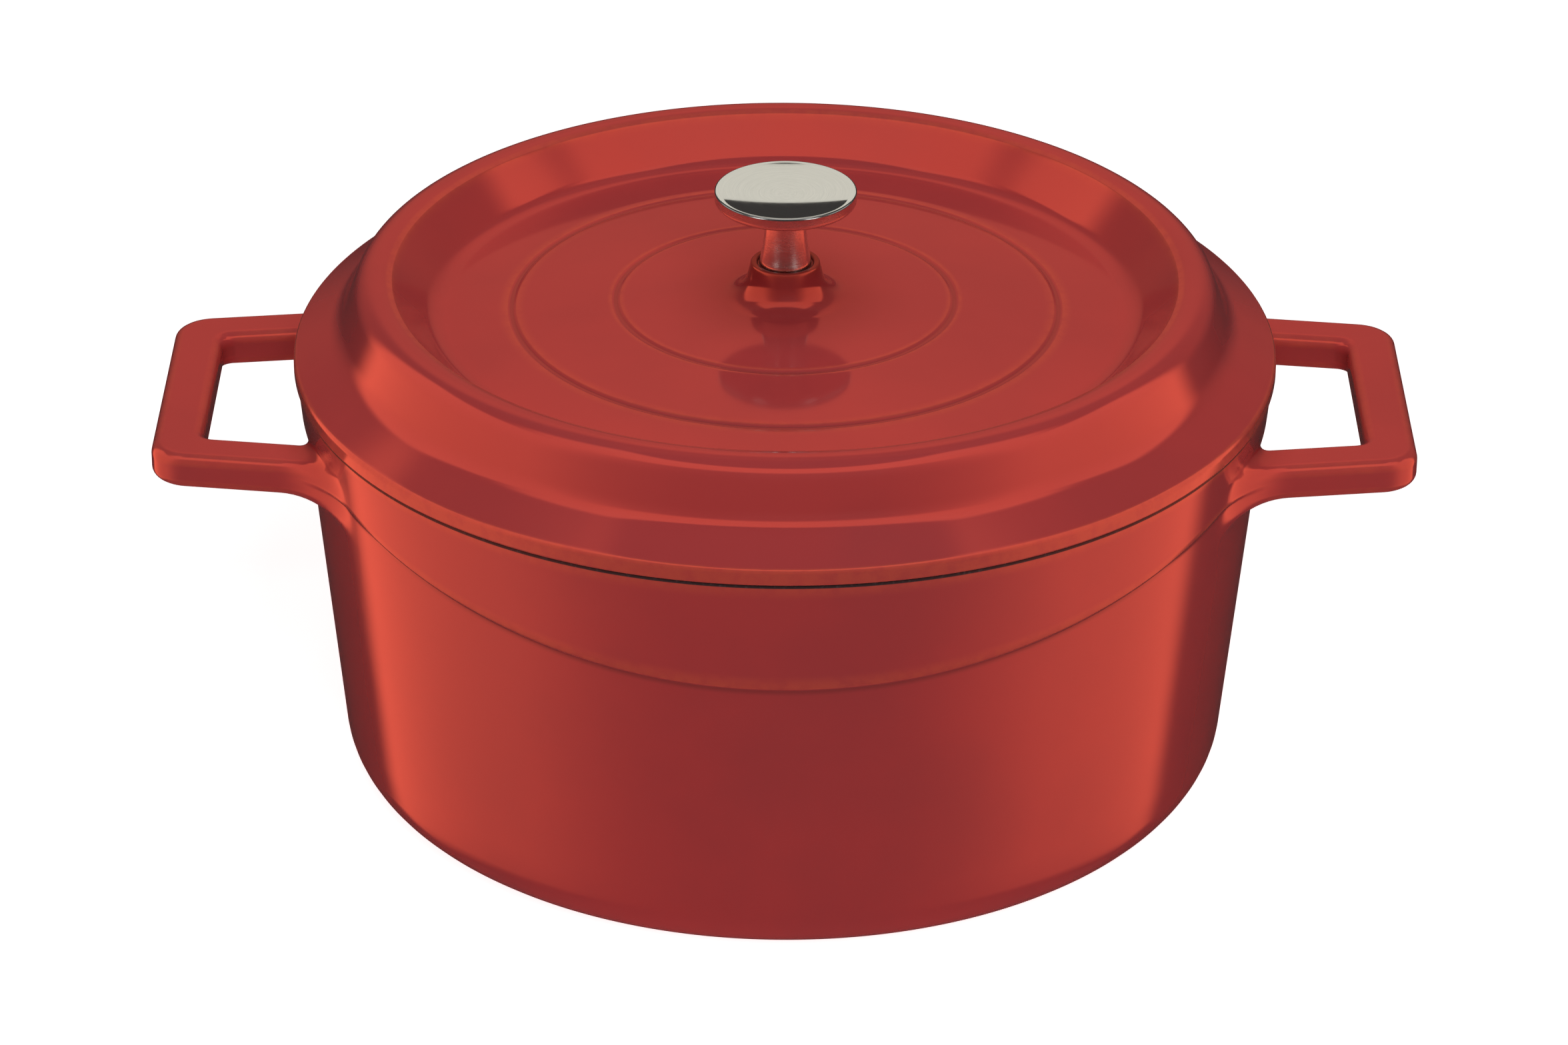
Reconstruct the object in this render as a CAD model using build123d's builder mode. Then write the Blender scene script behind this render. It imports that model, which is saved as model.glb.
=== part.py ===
from build123d import *
import os
from math import cos, hypot, radians, sqrt, tan

# Round enamelled cast iron dutch oven: a pot with two cast loop handles, and a lid with a steel knob.
# Millimetres and degrees. +Z is up, +X runs along the two handles, +Y points to the back.
# The origin is the centre of the base, on the surface that the pot stands on.

# ---- pot: body ----
rim_height = 131.0  # top of the rim above the table
base_radius = 134.3  # where the sloping wall would meet the table
wall_slope = 5.3  # outward lean of the wall
base_round = 16.0  # outside corner between wall and base
wall = 3.8
floor_thickness = 4.2
inside_round = 14.0  # inside corner between wall and floor
rim_wall = 5.6  # thicker wall that carries the lid
rim_wall_depth = 11.0
rim_wall_blend = 13.0  # height over which the thick rim thins to the wall
rim_wall_round = 12.0
rim_round = 1.2
base_hollow = 1.0  # depth of the base's hollow, inside its foot ring
foot_ring_width = 12.0

# ---- pot: raised band under the rim, its lower edge arched from handle to handle ----
band_proud = 0.8
band_root = 1.0  # how deep the band's ring reaches into the wall
band_drop = 35.8  # lower edge below the rim, at the front and back
band_arch_radius = 460.0

# ---- pot: loop handles ----
handle_drop = 11.3  # top face below the rim
handle_thickness = 11.0
handle_reach = 41.3  # outer end beyond the rim band
handle_end_width = 94.2  # across the outer bar
handle_bar_width = 15.2
handle_splay = 7.75  # each arm leans outwards towards the pot
handle_corner = 11.0  # outside corner in plan
opening_corner = 4.5
root_flare = 15.0  # outside of an arm into the wall, in plan
root_inner_flare = 4.0
root_web = 11.0  # underside of the handle into the wall
root_sink = 0.3  # how far the handles are let into the wall's surface
handle_edge_round = 3.6

# ---- lid: casting ----
lid_overhang = 0.8  # lid edge beyond the rim band
lid_wall = 3.5
lid_edge_height = 4.6
lid_edge_round = 1.9
lid_edge_foot_round = 0.9
brim_width = 13.9  # from the edge to the foot of the steep flare
brim_rise = 8.3
brim_flare_round = 10.0
flare_run = 7.8  # steep flare up to the shoulder's corner
flare_rise = 17.6
shoulder_round = 8.0
ridge_run = 8.4  # from the shoulder's corner in to the ridge
ridge_drop = 3.1
ridge_round = 0.6
inner_slope_run = 12.3
inner_slope_drop = 12.85
inner_slope_round = 7.0
hollow_round = 3.0  # underside of the shoulder
floor_dome_radius = 950.0
groove_inset = 23.4  # outer ring groove from the edge of the floor
groove_spacing = 31.3
groove_count = 2
groove_round = 1.1
groove_depth = 0.5
seat_clearance = 2.7  # locating ring inside the pot's mouth
locating_ring_depth = 5.0
locating_ring_width = 5.0
locating_ring_round = 1.5

# ---- lid: centre boss ----
boss_radius = 10.3
boss_rise = 10.8  # lip above the crown of the floor
boss_spread = 1.4  # how much wider the bell is at its foot
boss_foot_round = 7.5
boss_lip_width = 1.9
boss_lip_height = 1.0
boss_lip_round = 0.8
boss_top_thickness = 5.0
pocket_clearance = 1.2  # around the washers, under the boss
pocket_mouth_round = 4.0

# ---- knob ----
knob_radius = 21.3
knob_height = 24.3
knob_edge_height = 4.0
knob_edge_round = 1.5  # under the disc
knob_top_round = 0.6
knob_dish_depth = 1.1
knob_rim_land = 0.9  # flat rim around the dish
knob_underside_rise = 3.0
knob_underside_round = 2.0
knob_neck_radius = 6.2
knob_neck_drop = 10.0  # top of the waist below the knob's top
knob_waist_bow = 0.35  # how far the waist curves in from a straight line
knob_foot_radius = 7.9
knob_foot_edge = 0.6

# ---- M6 screw and washers ----
screw_radius = 3.0
screw_length = 18.0
screw_tip_chamfer = 0.6
head_radius = 6.0
head_height = 4.6
head_round = 1.8
recess_span = 6.4  # cross recess in the screw's head
recess_width = 1.6
recess_depth = 2.6
screw_hole_clearance = 0.3
thread_clearance = 0.05  # the threads are left out, so the knob's bore clears the screw
bore_spare = 1.5  # depth of the bore beyond the screw's tip
washer_radius = 6.0
washer_thickness = 1.6
lock_washer_radius = 5.9
lock_washer_thickness = 1.6
lock_washer_split = 1.0
washer_hole_clearance = 0.2

# ---- heights and radii that follow ----
wall_lean = tan(radians(wall_slope))


def wall_radius(height):
    """Outside radius of the plain wall at a height."""
    return base_radius + height * wall_lean


rim_radius = wall_radius(rim_height) + band_proud
mouth_radius = wall_radius(rim_height) - rim_wall
outside = 2 * rim_radius  # past everything, for tools that trim

handle_top = rim_height - handle_drop
handle_bottom = handle_top - handle_thickness
handle_end = rim_radius + handle_reach

lid_radius = rim_radius + lid_overhang
locating_radius = mouth_radius - seat_clearance
flare_foot = (lid_radius - brim_width, rim_height + lid_edge_height + brim_rise)
shoulder = (flare_foot[0] - flare_run, flare_foot[1] + flare_rise)
ridge = (shoulder[0] - ridge_run, shoulder[1] - ridge_drop)
floor_edge = (ridge[0] - inner_slope_run, ridge[1] - inner_slope_drop)
dome_centre = floor_edge[1] - sqrt(floor_dome_radius**2 - floor_edge[0] ** 2)


def lid_floor(radius):
    """Height of the lid's domed floor at a radius."""
    return dome_centre + sqrt(floor_dome_radius**2 - radius**2)


lip_height = lid_floor(0) + boss_rise
seat_height = lip_height - boss_lip_height
pocket_top = seat_height - boss_top_thickness
pocket_radius = washer_radius + pocket_clearance
screw_hole_radius = screw_radius + screw_hole_clearance
washer_hole_radius = screw_radius + washer_hole_clearance
knob_top = seat_height + knob_height
head_top = pocket_top - washer_thickness - lock_washer_thickness
screw_tip = head_top + screw_length


def is_near(value, target):
    """Whether a coordinate is the target, to a hundredth of a millimetre."""
    return abs(value - target) < 0.01


# ---- pot: the two loop handles, standing on a disc that the wall hides ----
root_radius = wall_radius(handle_bottom) - root_sink
arm_lean = tan(radians(handle_splay))
arm_width = handle_bar_width / cos(radians(handle_splay))
end_half = handle_end_width / 2
opening_end = handle_end - handle_bar_width
arm_root = root_radius / 2
web_foot = handle_bottom - root_web


def arm_edge(reach):
    """Half the width across both arms, at a distance from the pot's axis."""
    return end_half + (handle_end - reach) * arm_lean


with BuildPart() as handles:
    with BuildSketch(Plane.XY.offset(web_foot)) as plan:
        for side in (1, -1):
            with BuildLine():
                Polyline(
                    (side * arm_root, -arm_edge(arm_root)),
                    (side * handle_end, -end_half),
                    (side * handle_end, end_half),
                    (side * arm_root, arm_edge(arm_root)),
                    close=True,
                )
            make_face()
            with BuildLine():
                Polyline(
                    (side * arm_root, arm_width - arm_edge(arm_root)),
                    (side * opening_end, arm_width - arm_edge(opening_end)),
                    (side * opening_end, arm_edge(opening_end) - arm_width),
                    (side * arm_root, arm_edge(arm_root) - arm_width),
                    close=True,
                )
            make_face(mode=Mode.SUBTRACT)
        with Locations(Rotation(0, 0, 90)):
            Circle(root_radius)
        corners = plan.vertices()
        roots = corners.filter_by(lambda v: is_near(hypot(v.X, v.Y), root_radius) and not is_near(v.X, 0))
        fillet(corners.filter_by(lambda v: is_near(abs(v.X), handle_end)), radius=handle_corner)
        fillet(corners.filter_by(lambda v: is_near(abs(v.X), opening_end)), radius=opening_corner)
        fillet(roots.filter_by(lambda v: abs(v.Y) > end_half), radius=root_flare)
        fillet(roots.filter_by(lambda v: abs(v.Y) < end_half), radius=root_inner_flare)
    extrude(amount=root_web + handle_thickness)
    # The underside is flat under the loop and rounds down into the wall.
    with BuildSketch(Plane.XZ):
        with BuildLine():
            FilletPolyline(
                (outside, handle_bottom),
                (wall_radius(handle_bottom) - root_sink, handle_bottom),
                (wall_radius(web_foot - root_web) - root_sink, web_foot - root_web),
                (outside, web_foot - root_web),
                radius=(0, root_web, 0, 0),
                close=True,
            )
        make_face()
    revolve(axis=Axis.Z, mode=Mode.SUBTRACT)
    free_edges = handles.edges().filter_by(lambda e: hypot(e.center().X, e.center().Y) > root_radius + 1)
    fillet(free_edges.filter_by(lambda e: is_near(e.center().Z, handle_bottom)), radius=handle_edge_round)
    fillet(handles.edges().group_by(Axis.Z)[-1], radius=handle_edge_round)

# ---- pot: the raised band, a thin ring kept above the arch of its lower edge ----
band_foot = rim_height - band_drop
with BuildPart() as band:
    with BuildSketch(Plane.XZ):
        with BuildLine():
            Polyline(
                (wall_radius(band_foot) - band_root, band_foot),
                (wall_radius(band_foot) + band_proud, band_foot),
                (rim_radius, rim_height),
                (rim_radius - band_proud - band_root, rim_height),
                close=True,
            )
        make_face()
    revolve(axis=Axis.Z)
    with BuildSketch(Plane.XZ):
        with Locations((0, band_foot + band_arch_radius)):
            Circle(band_arch_radius)
    extrude(amount=outside, both=True, mode=Mode.INTERSECT)

# ---- pot: the whole casting ----
blend_top = rim_height - rim_wall_depth
blend_foot = blend_top - rim_wall_blend

with BuildPart() as pot:
    with BuildSketch(Plane.XZ):
        with BuildLine():
            FilletPolyline(
                (0, 0),
                (base_radius, 0),
                (wall_radius(rim_height), rim_height),
                (0, rim_height),
                radius=(0, base_round, 0, 0),
                close=True,
            )
        make_face()
    revolve(axis=Axis.Z)
    add(band.part)
    add(handles.part)
    with BuildSketch(Plane.XZ):
        with BuildLine():
            FilletPolyline(
                (0, floor_thickness),
                (wall_radius(floor_thickness) - wall, floor_thickness),
                (wall_radius(blend_foot) - wall, blend_foot),
                (mouth_radius, blend_top),
                (mouth_radius, rim_height),
                (0, rim_height),
                radius=(0, inside_round, rim_wall_round, rim_wall_round, 0, 0),
                close=True,
            )
        make_face()
    revolve(axis=Axis.Z, mode=Mode.SUBTRACT)
    fillet(pot.edges().group_by(Axis.Z)[-1], radius=rim_round)
    # The base stands on the flat ring around a shallow hollow.
    with BuildSketch(Plane.XY):
        Circle(base_radius - base_round - foot_ring_width)
    extrude(amount=base_hollow, mode=Mode.SUBTRACT)

# ---- lid ----


def parallel(corners, distance):
    """Inner corners of a line of points, moved square to both their sides by a distance."""
    moved = []
    for before, corner, after in zip(corners, corners[1:], corners[2:]):
        first = (Vector(*corner) - Vector(*before)).normalized()
        second = (Vector(*after) - Vector(*corner)).normalized()
        sides = Vector(first.Y, -first.X) + Vector(second.Y, -second.X)
        shift = sides * (distance / (1 + first.dot(second)))
        moved.append((corner[0] + shift.X, corner[1] + shift.Y))
    return moved


dome_start = boss_radius + boss_spread + 2 * boss_foot_round
dome_end = floor_edge[0] - inner_slope_round
dome_middle = (dome_start + dome_end) / 2
ring_inside = locating_radius - locating_ring_width
ring_foot = rim_height - locating_ring_depth
edge_top = rim_height + lid_edge_height
outer_line = [(dome_end, lid_floor(dome_end)), floor_edge, ridge, shoulder, flare_foot, (lid_radius, edge_top)]
inner_line = parallel(outer_line, lid_wall)
hollow_foot = (ring_inside, inner_line[-1][1] - lid_wall)

with BuildPart() as lid:
    with BuildSketch(Plane.XZ):
        with BuildLine():
            # Top of the boss, its lip and its bell.
            FilletPolyline(
                (screw_hole_radius, seat_height),
                (boss_radius - boss_lip_width, seat_height),
                (boss_radius - boss_lip_width, lip_height),
                (boss_radius, lip_height),
                (boss_radius + boss_spread, lid_floor(boss_radius)),
                (dome_start, lid_floor(dome_start)),
                radius=(0, boss_lip_round, boss_lip_round, boss_foot_round),
            )
            ThreePointArc(
                (dome_start, lid_floor(dome_start)),
                (dome_middle, lid_floor(dome_middle)),
                (dome_end, lid_floor(dome_end)),
            )
            # Out over the shoulder to the edge, in under the seat, and back inside the hollow.
            FilletPolyline(
                *outer_line,
                (lid_radius, rim_height),
                (locating_radius, rim_height),
                (locating_radius, ring_foot),
                (ring_inside, ring_foot),
                hollow_foot,
                *reversed(inner_line[:-1]),
                (dome_end, lid_floor(dome_end) - lid_wall),
                radius=(
                    inner_slope_round,
                    ridge_round,
                    shoulder_round,
                    brim_flare_round,
                    lid_edge_round,
                    lid_edge_foot_round,
                    0,
                    locating_ring_round,
                    locating_ring_round,
                    hollow_round,
                    hollow_round,
                    0,
                    inner_slope_round,
                ),
            )
            ThreePointArc(
                (dome_end, lid_floor(dome_end) - lid_wall),
                (dome_middle, lid_floor(dome_middle) - lid_wall),
                (dome_start, lid_floor(dome_start) - lid_wall),
            )
            # The pocket under the boss, for the screw's head and its washers.
            FilletPolyline(
                (dome_start, lid_floor(dome_start) - lid_wall),
                (pocket_radius, lid_floor(pocket_radius) - lid_wall),
                (pocket_radius, pocket_top),
                (screw_hole_radius, pocket_top),
                (screw_hole_radius, seat_height),
                radius=(pocket_mouth_round, 0, 0),
            )
        make_face()
    revolve(axis=Axis.Z)
    for ring in range(groove_count):
        groove_radius = floor_edge[0] - groove_inset - ring * groove_spacing
        with BuildSketch(Plane.XZ):
            with Locations((groove_radius, lid_floor(groove_radius) + groove_round - groove_depth)):
                Circle(groove_round)
        revolve(axis=Axis.Z, mode=Mode.SUBTRACT)

# ---- knob ----
bore_radius = screw_radius + thread_clearance
bore_end = screw_tip + bore_spare
disc_foot = knob_top - knob_edge_height
foot_top = seat_height + knob_foot_edge
waist_top = knob_top - knob_neck_drop
waist_middle = ((knob_foot_radius + knob_neck_radius) / 2 - knob_waist_bow, (foot_top + waist_top) / 2)
dish_radius = knob_radius - knob_rim_land
dish_sphere = (dish_radius**2 + knob_dish_depth**2) / (2 * knob_dish_depth)
dish_middle = dish_radius / 2
dish_bottom = knob_top - knob_dish_depth
dish_middle_height = dish_bottom + dish_sphere - sqrt(dish_sphere**2 - dish_middle**2)

with BuildPart() as knob:
    with BuildSketch(Plane.XZ):
        with BuildLine():
            Polyline(
                (0, bore_end),
                (bore_radius, bore_end),
                (bore_radius, seat_height),
                (knob_foot_radius - knob_foot_edge, seat_height),
                (knob_foot_radius, foot_top),
            )
            ThreePointArc((knob_foot_radius, foot_top), waist_middle, (knob_neck_radius, waist_top))
            FilletPolyline(
                (knob_neck_radius, waist_top),
                (knob_neck_radius, disc_foot - knob_underside_rise),
                (knob_radius, disc_foot),
                (knob_radius, knob_top),
                (dish_radius, knob_top),
                radius=(knob_underside_round, knob_edge_round, knob_top_round),
            )
            ThreePointArc((dish_radius, knob_top), (dish_middle, dish_middle_height), (0, dish_bottom))
            Line((0, dish_bottom), (0, bore_end))
        make_face()
    revolve(axis=Axis.Z)

# ---- screw and washers, up through the lid from below ----
with BuildPart() as knob_screw:
    with BuildSketch(Plane.XY.offset(head_top - head_height)):
        Circle(head_radius)
    extrude(amount=head_height)
    fillet(knob_screw.edges().group_by(Axis.Z)[0], radius=head_round)
    with BuildSketch(Plane.XY.offset(head_top)):
        Circle(screw_radius)
    extrude(amount=screw_length)
    chamfer(knob_screw.edges().group_by(Axis.Z)[-1], length=screw_tip_chamfer)
    with BuildSketch(Plane.XY.offset(head_top - head_height)):
        Rectangle(recess_span, recess_width)
        Rectangle(recess_width, recess_span)
    extrude(amount=recess_depth, mode=Mode.SUBTRACT)

with BuildPart() as knob_lock_washer:
    with BuildSketch(Plane.XY.offset(head_top)):
        Circle(lock_washer_radius)
        Circle(washer_hole_radius, mode=Mode.SUBTRACT)
        with Locations((lock_washer_radius, 0)):
            Rectangle(2 * (lock_washer_radius - screw_radius), lock_washer_split, mode=Mode.SUBTRACT)
    extrude(amount=lock_washer_thickness)

with BuildPart() as knob_washer:
    with BuildSketch(Plane.XY.offset(pocket_top - washer_thickness)):
        Circle(washer_radius)
        Circle(washer_hole_radius, mode=Mode.SUBTRACT)
    extrude(amount=washer_thickness)

# ---- one file for each piece ----
os.makedirs("parts", exist_ok=True)
pieces = {
    "pot": pot,
    "lid": lid,
    "knob": knob,
    "knob_screw": knob_screw,
    "knob_lock_washer": knob_lock_washer,
    "knob_washer": knob_washer,
}
for name, piece in pieces.items():
    piece.part.label = name
    export_step(piece.part, f"parts/{name}.step")
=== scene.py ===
"""Looks of a round enamelled cast iron dutch oven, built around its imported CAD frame.

Metres and radians. +Z is up, +X runs along the two handles, and -Y is the front.
"""

import logging
import math
from dataclasses import dataclass, field
from enum import Enum
from functools import cached_property

import bpy
import numpy as np
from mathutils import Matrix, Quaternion, Vector


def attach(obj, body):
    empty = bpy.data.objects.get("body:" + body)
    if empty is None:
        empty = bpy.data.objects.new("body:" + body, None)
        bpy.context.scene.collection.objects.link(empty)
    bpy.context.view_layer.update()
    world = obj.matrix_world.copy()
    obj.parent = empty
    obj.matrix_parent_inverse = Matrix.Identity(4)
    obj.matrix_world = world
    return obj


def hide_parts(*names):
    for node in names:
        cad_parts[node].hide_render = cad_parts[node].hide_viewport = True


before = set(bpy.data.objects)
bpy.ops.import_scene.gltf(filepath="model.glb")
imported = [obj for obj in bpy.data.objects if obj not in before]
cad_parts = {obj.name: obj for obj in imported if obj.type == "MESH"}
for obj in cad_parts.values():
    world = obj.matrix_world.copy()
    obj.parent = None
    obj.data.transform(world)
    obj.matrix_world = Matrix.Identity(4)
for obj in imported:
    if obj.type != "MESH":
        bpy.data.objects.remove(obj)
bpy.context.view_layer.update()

log = logging.getLogger("dutch_oven")

Point = tuple[float, float]
Colour = tuple[float, float, float]
Fade = tuple[float, ...]

MM = 0.001
ON_AXIS = 1e-9  # radii below this are on the axis
WELD = 2e-7  # vertices nearer than this are one
STRAIGHT = 1e-4  # bends smaller than this need no arc
SHORTEST = 1e-7  # edges are taken as at least this long
FLATTEST = 1e-9  # and bends as at least this strong


class Body(Enum):
    """The bodies that move."""

    POT = "pot"
    LID = "lid"


class Slot(Enum):
    """Names for material slots, which nothing here uses."""

    ENAMEL = "red_enamel"
    STEEL = "polished_steel"


# ---------------------------------------------------------------- outlines


def rounded(corners: list[Point], radii: list[float], turn: float = math.radians(7.5)) -> list[Point]:
    """Lays a line through corners and rounds each inner one with an arc.

    Args:
        corners: The line's corners, in order.
        radii: The radius at each inner corner, or 0 to keep it sharp.
        turn: The largest turn between two points of an arc.

    Returns:
        The line's points.
    """
    points = [Vector(corners[0])]
    for before, corner, after, radius in zip(corners, corners[1:], corners[2:], radii):
        here = Vector(corner)
        came = (here - Vector(before)).normalized()
        goes = (Vector(after) - here).normalized()
        bend = math.acos(max(-1.0, min(1.0, came.dot(goes))))
        if radius == 0 or bend < STRAIGHT:
            points.append(here)
            continue
        start = here - came * radius * math.tan(bend / 2)
        inward = (goes - came * came.dot(goes)).normalized()
        centre = start + inward * radius
        steps = max(2, math.ceil(bend / turn))
        for step in range(steps + 1):
            angle = bend * step / steps
            points.append(centre - inward * radius * math.cos(angle) + came * radius * math.sin(angle))
    points.append(Vector(corners[-1]))
    return [tuple(point) for point in points]


def spaced(points: list[Point], longest: float, guard: float) -> list[Point]:
    """Splits the long runs of a line, with a point close to each end so that flat faces shade flat.

    Args:
        points: The line's points.
        longest: The longest run that stays whole.
        guard: How far from a long run's ends its extra points stand.

    Returns:
        The line with the added points.
    """
    result = [points[0]]
    for first, second in zip(points, points[1:]):
        start, end = Vector(first), Vector(second)
        length = (end - start).length
        if length > 4 * guard:
            inner = length - 2 * guard
            count = max(1, math.ceil(inner / longest))
            for step in range(count + 1):
                along = (guard + inner * step / count) / length
                result.append(tuple(start.lerp(end, along)))
        result.append(second)
    return result


def inset(corners: list[Point], distance: float) -> list[Point]:
    """Moves the inner corners of a line to its right, square to both their sides.

    Args:
        corners: The line's corners.
        distance: How far the line moves.

    Returns:
        The moved inner corners.
    """
    moved = []
    for before, corner, after in zip(corners, corners[1:], corners[2:]):
        came = (Vector(corner) - Vector(before)).normalized()
        goes = (Vector(after) - Vector(corner)).normalized()
        sides = Vector((came.y, -came.x)) + Vector((goes.y, -goes.x))
        shift = sides * (distance / (1 + came.dot(goes)))
        moved.append((corner[0] + shift.x, corner[1] + shift.y))
    return moved


# ---------------------------------------------------------------- meshes


def new_object(name: str, mesh: bpy.types.Mesh) -> bpy.types.Object:
    """Links a mesh into the scene as a new object at the origin.

    Args:
        name: The object's name.
        mesh: Its mesh.

    Returns:
        The object.
    """
    piece = bpy.data.objects.new(name, mesh)
    bpy.context.scene.collection.objects.link(piece)
    return piece


def mark_curvature(mesh: bpy.types.Mesh, tight: float = 2.4 * MM, passes: int = 2) -> None:
    """Writes how strongly each vertex bends outwards (1) or inwards (-1), for the enamel's thickness, its
    painted edge highlight and its painted shade in hollows.

    Args:
        mesh: The finished mesh.
        tight: The bend radius that counts as a full edge.
        passes: How many times the result is smoothed.
    """
    count = len(mesh.vertices)
    place = np.empty(count * 3)
    normal = np.empty(count * 3)
    edge = np.empty(len(mesh.edges) * 2, dtype=np.int64)
    mesh.vertices.foreach_get("co", place)
    mesh.vertices.foreach_get("normal", normal)
    mesh.edges.foreach_get("vertices", edge)
    place = place.reshape(-1, 3)
    normal = normal.reshape(-1, 3)
    edge = edge.reshape(-1, 2)
    total = np.zeros(count)
    weight = np.zeros(count)
    for near, far in ((edge[:, 0], edge[:, 1]), (edge[:, 1], edge[:, 0])):
        step = place[far] - place[near]
        length = np.linalg.norm(step, axis=1)
        bend = -2 * np.einsum("ij,ij->i", step, normal[near]) / np.maximum(length, SHORTEST) ** 2
        np.add.at(total, near, bend * np.abs(bend))
        np.add.at(weight, near, np.abs(bend))
    bend = np.where(weight > 0, total / np.maximum(weight, FLATTEST), 0.0) * tight
    for _ in range(passes):
        spread = bend.copy()
        shares = np.ones(count)
        np.add.at(spread, edge[:, 0], bend[edge[:, 1]])
        np.add.at(spread, edge[:, 1], bend[edge[:, 0]])
        np.add.at(shares, edge.reshape(-1), 1)
        bend = spread / shares
    layer = mesh.attributes.new("curve", "FLOAT", "POINT")
    layer.data.foreach_set("value", np.clip(bend, -1, 1).astype(np.float32))


# ---------------------------------------------------------------- geometry nodes


def add_node(
    tree: bpy.types.NodeTree, kind: str, settings: dict[str, object], values: dict[object, object]
) -> bpy.types.Node:
    """Adds a node to a tree.

    Args:
        tree: The tree.
        kind: The node's type.
        settings: Properties, which are set first.
        values: A socket to link or a value for each input, by name or place.

    Returns:
        The node.
    """
    node = tree.nodes.new(kind)
    for key, value in settings.items():
        setattr(node, key, value)
    for key, value in values.items():
        if isinstance(value, bpy.types.NodeSocket):
            tree.links.new(value, node.inputs[key])
        else:
            node.inputs[key].default_value = value
    return node


class NodeTree:
    """A Geometry Nodes tree that takes one geometry and gives one plain, merged, dressed mesh."""

    def __init__(self, name: str) -> None:
        """Starts a tree with its geometry input and output.

        Args:
            name: The tree's name.
        """
        self.tree = bpy.data.node_groups.new(name, "GeometryNodeTree")
        self.inputs: dict[str, str] = {}
        self.source = self.tree.nodes.new("NodeGroupInput")
        self.result = self.tree.nodes.new("NodeGroupOutput")
        self.add_input("Geometry", "NodeSocketGeometry")
        self.tree.interface.new_socket(name="Geometry", in_out="OUTPUT", socket_type="NodeSocketGeometry")

    def add_input(self, name: str, kind: str) -> bpy.types.NodeSocket:
        """Adds a named input.

        Args:
            name: The input's name.
            kind: The socket's type.

        Returns:
            The socket that gives the input's value inside the tree.
        """
        item = self.tree.interface.new_socket(name=name, in_out="INPUT", socket_type=kind)
        self.inputs[name] = item.identifier
        return self.source.outputs[name]

    def node(self, kind: str, settings: dict[str, object], values: dict[object, object]) -> bpy.types.Node:
        """Adds a node with its settings, and a value or a link for each input."""
        return add_node(self.tree, kind, settings, values)

    def maths(self, operation: str, *values: object) -> bpy.types.NodeSocket:
        """Adds a Math node on the values and returns its result."""
        return self.node("ShaderNodeMath", {"operation": operation}, dict(enumerate(values))).outputs[0]

    def close(self, instances: bpy.types.NodeSocket, weld: bool) -> None:
        """Ends the tree: plain geometry, smooth, with the two finishes.

        Args:
            instances: What the tree has made so far.
            weld: Whether touching copies become one skin.
        """
        first = self.add_input("Finish", "NodeSocketMaterial")
        second = self.add_input("Inside Finish", "NodeSocketMaterial")
        made = self.node("GeometryNodeRealizeInstances", {}, {"Geometry": instances}).outputs[0]
        if weld:
            welded = self.node("GeometryNodeMergeByDistance", {}, {"Geometry": made, "Distance": WELD})
            made = welded.outputs[0]
        made = self.node("GeometryNodeSetShadeSmooth", {}, {"Geometry": made}).outputs[0]
        inside = self.node("GeometryNodeInputNamedAttribute", {"data_type": "BOOLEAN"}, {"Name": "inside"})
        made = self.node("GeometryNodeSetMaterial", {}, {"Geometry": made, "Material": first}).outputs[0]
        dressed = self.node(
            "GeometryNodeSetMaterial",
            {},
            {"Geometry": made, "Selection": inside.outputs["Attribute"], "Material": second},
        )
        self.tree.links.new(dressed.outputs[0], self.result.inputs[0])

    def run(self, name: str, seed: bpy.types.Object, values: dict[str, object]) -> bpy.types.Object:
        """Runs the tree on an object and turns the result into a plain mesh.

        Args:
            name: The new piece's name.
            seed: The object that the tree copies. It is removed.
            values: The value of each named input.

        Returns:
            The finished piece.
        """
        modifier = seed.modifiers.new("nodes", "NODES")
        modifier.node_group = self.tree
        for key, value in values.items():
            modifier[self.inputs[key]] = value
        seed.update_tag()
        bpy.context.view_layer.update()
        graph = bpy.context.evaluated_depsgraph_get()
        mesh = bpy.data.meshes.new_from_object(seed.evaluated_get(graph), depsgraph=graph)
        seed.modifiers.remove(modifier)
        bpy.data.objects.remove(seed)
        if mesh.materials[0] is None:
            mesh.materials.pop(index=0)
        mesh.name = name
        return new_object(name, mesh)


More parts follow.
